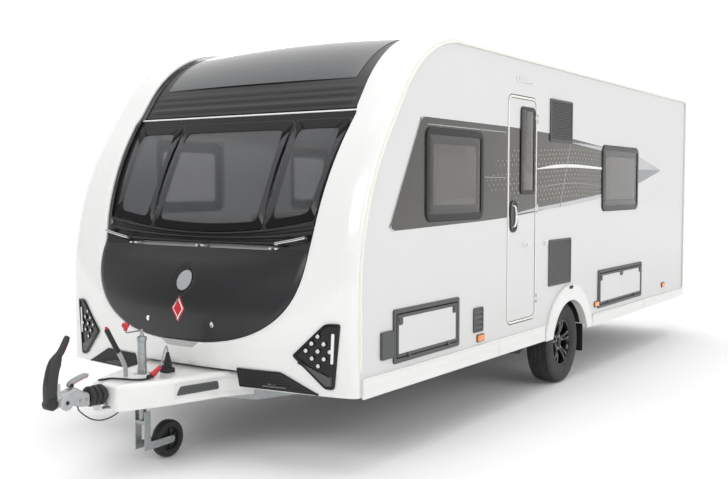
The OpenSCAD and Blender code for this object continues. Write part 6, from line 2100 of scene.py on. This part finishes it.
class CARAVAN_OT_levers(bpy.types.Operator):
    """Stabiliser handle, coupling handle and handbrake"""

    bl_idname = "caravan.levers"
    bl_label = "Hitch levers"

    def execute(self, context):
        f = finishes()
        line = spline([[-.004, HEAD_Y - .070, .447], [-.003, HEAD_Y - .070, .500],
                       [0, HEAD_Y - .066, .560], [0, HEAD_Y - .050, .630],
                       [.002, HEAD_Y - .022, .684], [.004, HEAD_Y + .004, .720],
                       [.004, HEAD_Y + .040, .782]], 7)
        share = np.linspace(0, 1, len(line))
        grow = np.interp(share, [0, .08, .30, .58, .72, .97, 1], [.84, 1, 1.12, 1.0, .58, .50, .36])
        body = softened([[-.021, -.029], [.021, -.029], [.021, .029], [-.021, .029]], .012, 5)
        grip = piece("stabiliser_handle", sweep(at_axle(line), body[:, ::-1], up=(1, 0, 0),
                                                scale=grow), "grey_plastic", f.black_grey,
                     crease=50)
        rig.replaces(grip, "hitch_levers")
        foot = turned_form([[-.030, 0], [-.030, .026], [-.024, .030], [.024, .030], [.030, .026],
                            [.030, 0]], at_axle([-.004, HEAD_Y - .068, .452]), 0, 40)
        piece("stabiliser_foot", foot, "black_trim", f.black_matt)
        post = block(at_axle([.012, HEAD_Y - .040, .480]), at_axle([.022, HEAD_Y - .022, .552]),
                     .004)
        piece("stabiliser_post", post, "cast_grey", f.lip)

        def strip(a, b, wide, out, thick):
            keep = (share >= a) & (share <= b)
            path = line[keep]
            along = unit(np.gradient(path, axis=0))
            behind = np.cross([1, 0, 0], along)
            path = path - behind * (grow[keep] * .029 * out)[:, None]
            section = np.array([[-wide, -thick], [wide, -thick], [wide, thick], [-wide, thick]])
            return sweep(at_axle(path), section[:, ::-1], up=(1, 0, 0))
        piece("stabiliser_pad", strip(.10, .60, .0150, .97, .0022), "black_trim",
              f.black_matt)
        piece("stabiliser_red",
              merge([strip(.34, .42, .0110, 1.04, .0020), strip(.45, .52, .0100, 1.04, .0020),
                     strip(.74, .96, .0075, 1.00, .0022)]), "plug_red", f.red)
        pull = spline([[0, -3.884, .526], [0, -3.860, .543], [0, -3.820, .556], [0, -3.780, .565],
                       [0, -3.760, .563]], 7)
        flat = softened([[-.0155, -.0105], [.0155, -.0105], [.0155, .0105], [-.0155, .0105]], .006)
        wide = np.interp(np.linspace(0, 1, len(pull)), [0, .15, .8, 1], [.75, 1.02, .92, .55])
        piece("coupling_handle", sweep(at_axle(pull), flat, scale=wide), "grey_plastic",
              f.pale_grey, crease=50)
        under = np.array([[-.0125, -.0025], [.0125, -.0025], [.0125, .0025], [-.0125, .0025]])
        piece("coupling_handle_red", sweep(at_axle(pull[8:-4] - [0, 0, .0106]), under), "plug_red",
              f.red)
        pivot = turned_form([[-.019, 0], [-.019, .009], [-.017, .011], [.017, .011], [.019, .009],
                             [.019, 0]], at_axle([0, -3.872, .528]), 0, 28)
        piece("coupling_handle_pivot", pivot, "black_trim", f.black)
        brake = spline([[-.040, -3.466, .392], [-.040, -3.467, .480], [-.040, -3.470, .545],
                        [-.040, -3.492, .600], [-.040, -3.560, .712], [-.040, -3.598, .778]], 8)
        blade = softened([[-.0055, -.0125], [.0055, -.0125], [.0055, .0125], [-.0055, .0125]], .003)
        piece("handbrake_lever", sweep(at_axle(brake[:-8]), blade[:, ::-1], up=(1, 0, 0)),
              "cast_grey", f.cast, crease=50)
        hold = brake[-14:]
        fat = softened([[-.0075, -.0145], [.0075, -.0145], [.0075, .0145], [-.0075, .0145]], .006)
        ease = np.interp(np.linspace(0, 1, 14), [0, .08, .92, 1], [.85, 1, 1, .7])
        piece("handbrake_grip", sweep(at_axle(hold), fat[:, ::-1], up=(1, 0, 0), scale=ease),
              "black_trim", f.black_matt, crease=50)
        piece("handbrake_button", turned_form([[.778, 0], [.778, .008], [.790, .007], [.792, 0]],
                                              at_axle([-.040, -3.598, 0]), 2, 20), "plug_red",
              f.red)
        return {"FINISHED"}


class CARAVAN_OT_jockey(bpy.types.Operator):
    """Jockey wheel: outer tube with its clamp and crank, stem, fork bolts and solid wheel"""

    bl_idname = "caravan.jockey"
    bl_label = "Jockey wheel"

    def execute(self, context):
        f = finishes()
        y, r = -3.385, .024
        centre = at_axle([0, y, 0])
        outer = turned_form([[.3455, .0215], [.3455, .0238], [.3475, r], [.520, r], [.522, .0265],
                             [.540, .0265], [.542, r], [.690, r], [.694, .0275], [.708, .0275],
                             [.715, .022], [.717, .0], [.709, 0], [.709, .0215]], centre, 2, 48)
        clamp = [block(at_axle([-.120, y - .022, .397]), at_axle([.120, y + .022, .4195]), .003)]
        seam = block(at_axle([-.003, y + r - .001, .36]), at_axle([.003, y + r + .0012, .69]),
                     .0005)
        post = piece("jockey_outer_tube", merge([outer, seam] + clamp), "galvanised_steel",
                     f.zinc)
        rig.replaces(post, "jockey_tube")
        head = turned_form([[.716, 0], [.716, .012], [.728, .012], [.731, .008], [.753, .008],
                            [.755, .006], [.755, 0]], centre, 2, 28)
        arm = tube(spline(at_axle([[0, y - .001, .7475], [0, y - .040, .7485], [0, y - .090, .748],
                                   [0, y - .110, .7505], [0, y - .115, .760], [0, y - .115, .778]]),
                          6), .0042, 12, up=(1, 0, 0))
        piece("jockey_crank", merge([head, arm]), "galvanised_steel", f.zinc)
        knob = turned_form([[.760, 0], [.760, .0100], [.774, .0115], [.781, .0190], [.792, .0205],
                            [.800, .0175], [.805, .009], [.8058, 0]], at_axle([0, y - .115, 0]), 2,
                           32)
        piece("jockey_knob", knob, "plug_red", f.red)
        stem = turned_form([[.2505, 0], [.2505, .0195], [.252, .0205], [.585, .0205], [.599, .018],
                            [.5995, 0]], centre, 2, 40)
        foot = turned_form([[.2222, 0], [.2222, .0135], [.2278, .0138], [.2280, .0078],
                            [.2505, .0078], [.2505, 0]], centre, 2, 32)
        inner = piece("jockey_stem_bar", merge([stem, foot]), "galvanised_steel",
                      f.zinc, "jockey_stem")
        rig.replaces(inner, "jockey_stem")
        self.wheel(f, y + .185)
        bolt = [turned_form([[s_ * .0388, 0], [s_ * .0388, .0105], [s_ * .0425, .0095],
                             [s_ * .0428, 0]], at_axle([0, y + .185, .1065]), 0, 6)
                for s_ in (-1, 1)]
        piece("jockey_fork_bolts", merge(bolt), "galvanised_steel", f.zinc, "jockey_fork")
        return {"FINISHED"}

    @staticmethod
    def wheel(f, y):
        """Solid rubber wheel with a ribbed hub."""
        centre = at_axle([0, y, .1065])
        tread = turned_rings([[-.020, .070], [-.0265, .074], [-.0295, .084], [-.0280, .096],
                              [-.0200, .1040], [-.0080, .1062], [.0080, .1062], [.0200, .1040],
                              [.0280, .096], [.0295, .084], [.0265, .074], [.020, .070]], 72)
        skin = piece("jockey_wheel_rubber", moved(grid(tread, wrap_rows=True, wrap_cols=True),
                                                  centre), "tyre_rubber",
                     f.soft_black, "jockey_wheel")
        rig.replaces(skin, "jockey_wheel")
        web = turned_rings([[-.024, .072], [-.024, .066], [-.008, .060], [-.008, .026],
                            [-.028, .022], [-.029, .009], [.029, .009], [.028, .022], [.008, .026],
                            [.008, .060], [.024, .066], [.024, .072]], 60)
        ribs = [turned(block([-.020, -.0025, .020], [.020, .0025, .068], .001), k * math.pi / 3, 0)
                for k in range(6)]
        hub = merge([grid(web, wrap_rows=True, wrap_cols=True)] + ribs)
        piece("jockey_wheel_hub", moved(hub, centre), "grey_plastic", f.black_matt, "jockey_wheel")


# ---- Inside ----

SEAT_TOP = .844
BED_TOP = .884


def cushion(low, high, puff, r=.045, n=7):
    """Crowned pad: rings of a rounded rectangle, swelling at mid height and rising by 'puff' at
    its middle as (1 - u^4)(1 - v^4), closed by a flat foot."""
    low, high = np.asarray(low, float), np.asarray(high, float)
    middle_ = (low[:2] + high[:2]) / 2
    base = rounded(low[:2], high[:2], r, n)
    half = (high[:2] - low[:2]) / 2
    rings = []
    for share, up in ((.985, 0), (.998, .12), (1.0, .35), (.999, .60), (.985, .80), (.955, .92)):
        rings.append(np.column_stack([middle_ + (base - middle_) * share,
                                      np.full(len(base), low[2] + (high[2] - low[2] - puff) * up)]))
    for share in (.90, .75, .55, .32, .12):
        flat = middle_ + (base - middle_) * share
        crown = (1 - ((flat[:, 0] - middle_[0]) / half[0]) ** 4) * (1
                                                                    - ((flat[:, 1] - middle_[1])
                                                                       / half[1]) ** 4)
        rings.append(np.column_stack([flat, high[2] - puff * (1.04 - crown)]))
    return loft(rings)


def piping(low, high, z, r=.045, fat=.004):
    """Round cord sewn along the upper edge of a cushion."""
    line = rounded(low[:2], high[:2], r, 7)
    middle_ = (np.asarray(low[:2]) + np.asarray(high[:2])) / 2
    line = middle_ + (line - middle_) * .985
    return tube(np.column_stack([line, np.full(len(line), z)]), fat, 6, closed=True)


class CARAVAN_OT_cushions(bpy.types.Operator):
    """Seat cushions, mattress and pillows"""

    bl_idname = "caravan.cushions"
    bl_label = "Cushions"

    def execute(self, context):
        f = finishes()
        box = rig.box("seat_cushions")
        x1 = float(box[1][0]) - .002
        first = None
        for side, word in ((1, "near"), (-1, "far")):
            for k, (y0, y1) in enumerate(((-2.385, -1.855), (-1.850, -1.315))):
                low, high = at_axle([x1 - .550, y0, SEAT_TOP]), at_axle([x1, y1, SEAT_TOP + .118])
                pad = piece("seat_pad_%s_%d" % (word, k + 1), sided(cushion(low, high, .022), side),
                            "upholstery", f.cloth, crease=70)
                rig.padded(pad, fill=.6)
                first = first or pad
                welt = piping(low, high, high[2] - .034)
                piece("seat_piping_%s_%d" % (word, k + 1), sided(welt, side), "upholstery",
                      f.cream)
        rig.replaces(first, "seat_cushions")
        low, high = at_axle([-.288, .912, BED_TOP]), at_axle([x1 - .016, 2.288, BED_TOP + .150])
        bed = piece("mattress", cushion(low, high, .014, .09), "upholstery", f.pillow,
                    crease=70)
        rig.padded(bed, fill=.7)
        piece("mattress_piping", piping(low, high, high[2] - .030, .09), "upholstery",
              f.cream)
        for k, y in enumerate((1.06, 1.62)):
            low = at_axle([x1 - .42, y, BED_TOP + .146])
            high = at_axle([x1 - .03, y + .50, BED_TOP + .250])
            pillow = piece("pillow_%d" % (k + 1), cushion(low, high, .055, .10), "upholstery",
                           f.pillow, crease=80)
            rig.padded(pillow, fill=.5)
        return {"FINISHED"}


class CARAVAN_OT_cabin(bpy.types.Operator):
    """Cupboard fronts, overhead lockers, worktop, oven, table and blinds"""

    bl_idname = "caravan.cabin"
    bl_label = "Cabin"

    def execute(self, context):
        f = finishes()
        wall = 1.125 - .032 - .014

        def box(x0, x1, y0, y1, z0, z1, edge=.004):
            return block(at_axle([x0, y0, z0]), at_axle([x1, y1, z1]), edge)
        fronts, knobs = [], []
        for y0, y1 in ((-1.190, -.850), (-.840, -.500), (-.130, .190)):
            fronts.append(box(-wall + .560, -wall + .572, y0, y1, .53, 1.25))
            knobs.append(box(-wall + .572, -wall + .588, y1 - .06, y1 - .03, 1.06, 1.18))
        piece("kitchen_fronts", merge(fronts), "cabinet_wood", f.cream)
        piece("worktop", box(-wall, -wall + .585, -1.205, .205, 1.294, 1.318, .006), "cabinet_wood",
              f.timber)
        oven = box(-wall + .560, -wall + .575, -.485, -.145, .62, 1.25)
        piece("oven_front", oven, "black_trim", f.black)
        piece("oven_handle", tube(at_axle([[-wall + .590, -.46, 1.17], [-wall + .590, -.17, 1.17]]),
                                  .006), "grab_rail", f.chrome)
        upper, doors, slots = [], [], []
        for side, spans in ((-1, ((-1.96, -1.36), (-1.34, -.75), (-.05, .55), (.70, 2.35))),
                            (1, ((-1.96, -1.25), (-.38, .55), (.70, 2.35)))):
            for y0, y1 in spans:
                deep = .300
                x0, x1 = (wall - deep, wall) if side > 0 else (-wall, -wall + deep)
                upper.append(box(x0, x1, y0, y1, 2.020, 2.330))
                count = max(1, int(round((y1 - y0) / .5)))
                for k in range(count):
                    a0 = y0 + (y1 - y0) * k / count + .006
                    a1 = y0 + (y1 - y0) * (k + 1) / count - .006
                    d = (x0 - .012, x0) if side > 0 else (x1, x1 + .012)
                    doors.append(box(d[0], d[1], a0, a1, 2.030, 2.320))
                    s_ = (d[0] - .008, d[0]) if side > 0 else (d[1], d[1] + .008)
                    slots.append(box(s_[0], s_[1], (a0 + a1) / 2 - .06, (a0 + a1) / 2 + .06, 2.045,
                                     2.057, .002))
        piece("overhead_lockers", merge(upper), "cabinet_wood", f.timber)
        piece("overhead_doors", merge(doors), "cabinet_wood", f.cream)
        piece("overhead_pulls", merge(slots), "grab_rail", f.chrome)
        backs = []
        for side in (-1, 1):
            low = at_axle([wall - .130, -2.37, SEAT_TOP + .135])
            high = at_axle([wall - .010, -1.33, SEAT_TOP + .46])
            shape = cushion([low[1], low[2], 0], [high[1], high[2], .115], .02, .05)
            points = np.stack([high[0] - shape[0][:, 2], shape[0][:, 0], shape[0][:, 1]], -1)
            backs.append(sided((points, shape[1]), side))
        for k, back in enumerate(backs):
            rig.padded(piece("seat_back_%d" % (k + 1), back, "upholstery", f.cloth, crease=70),
                      fill=.6)
        piece("chest_top", box(-.290, .290, -2.440, -2.120, 1.104, 1.122, .006), "cabinet_wood",
              f.cream)
        drawers = [box(-.265, .265, -2.130, -2.120, z, z + .175) for z in (.50, .69, .88)]
        piece("chest_drawers", merge(drawers), "cabinet_wood", f.timber)
        rolls = []
        for side, spans in SIDE_WINDOWS.items():
            for y, length in spans:
                rolls.append(sided(box(wall - .045, wall - .004, y + .02, y + length - .02, 1.868,
                                       1.925), side))
        piece("blind_rolls", merge(rolls), "cabinet_wood", f.lining)
        u, v = np.linspace(0, 1, 60)[None], np.linspace(0, 1, 6)[:, None]
        y = .725 + .38 * u + 0 * v
        x = wall - .030 + .006 * np.sin(u * math.pi * 22) + 0 * v
        height = 1.345 + .525 * v + 0 * u

        def drape(out):
            return at_axle(np.stack([x + out, y, height], -1))
        piece("rear_blind", shell(drape(0), drape(-.0012)), "upholstery", f.cloth)
        return {"FINISHED"}


# ---- Panel and run ----

SETTINGS = (("caravan_front", FrontSizes), ("caravan_side", SideSizes),
            ("caravan_colours", CaravanColours))
OPERATORS = [c for c in list(globals().values()) if isinstance(c, type)
             and issubclass(c, bpy.types.Operator) and c is not bpy.types.Operator]


class CARAVAN_PT_make(bpy.types.Panel):
    """Lists the makers and their settings"""

    bl_label = "Touring Caravan"
    bl_space_type = "VIEW_3D"
    bl_region_type = "UI"
    bl_category = "Caravan"

    def draw(self, context):
        for kind in OPERATORS:
            self.layout.operator(kind.bl_idname)
        for name, _ in SETTINGS:
            box = self.layout.box()
            settings = getattr(context.scene, name)
            for field in settings.bl_rna.properties.keys():
                if field not in ("rna_type", "name"):
                    box.prop(settings, field)


def register():
    """Adds the classes and the scene's settings."""
    for name, kind in SETTINGS:
        bpy.utils.register_class(kind)
        setattr(bpy.types.Scene, name, PointerProperty(type=kind))
    for kind in OPERATORS + [CARAVAN_PT_make]:
        bpy.utils.register_class(kind)


def unregister():
    """Takes them away again."""
    for kind in [CARAVAN_PT_make] + OPERATORS[::-1]:
        bpy.utils.unregister_class(kind)
    for name, kind in SETTINGS[::-1]:
        delattr(bpy.types.Scene, name)
        bpy.utils.unregister_class(kind)


def main():
    """Makes the whole caravan, stage and cables first, and notes both boxes."""
    register()
    for thing in [o for o in bpy.data.objects if o.type in ("LIGHT", "CAMERA")]:
        bpy.data.objects.remove(thing)
    for kind in OPERATORS:
        group, name = kind.bl_idname.split(".")
        getattr(getattr(bpy.ops, group), name)()
    low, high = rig.bounds()
    with open("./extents.json", "w") as out:
        json.dump({"cad": [list(CAD_LOW), list(CAD_HIGH)], "visual": [list(low), list(high)]}, out)


if __name__ == "__main__":
    main()
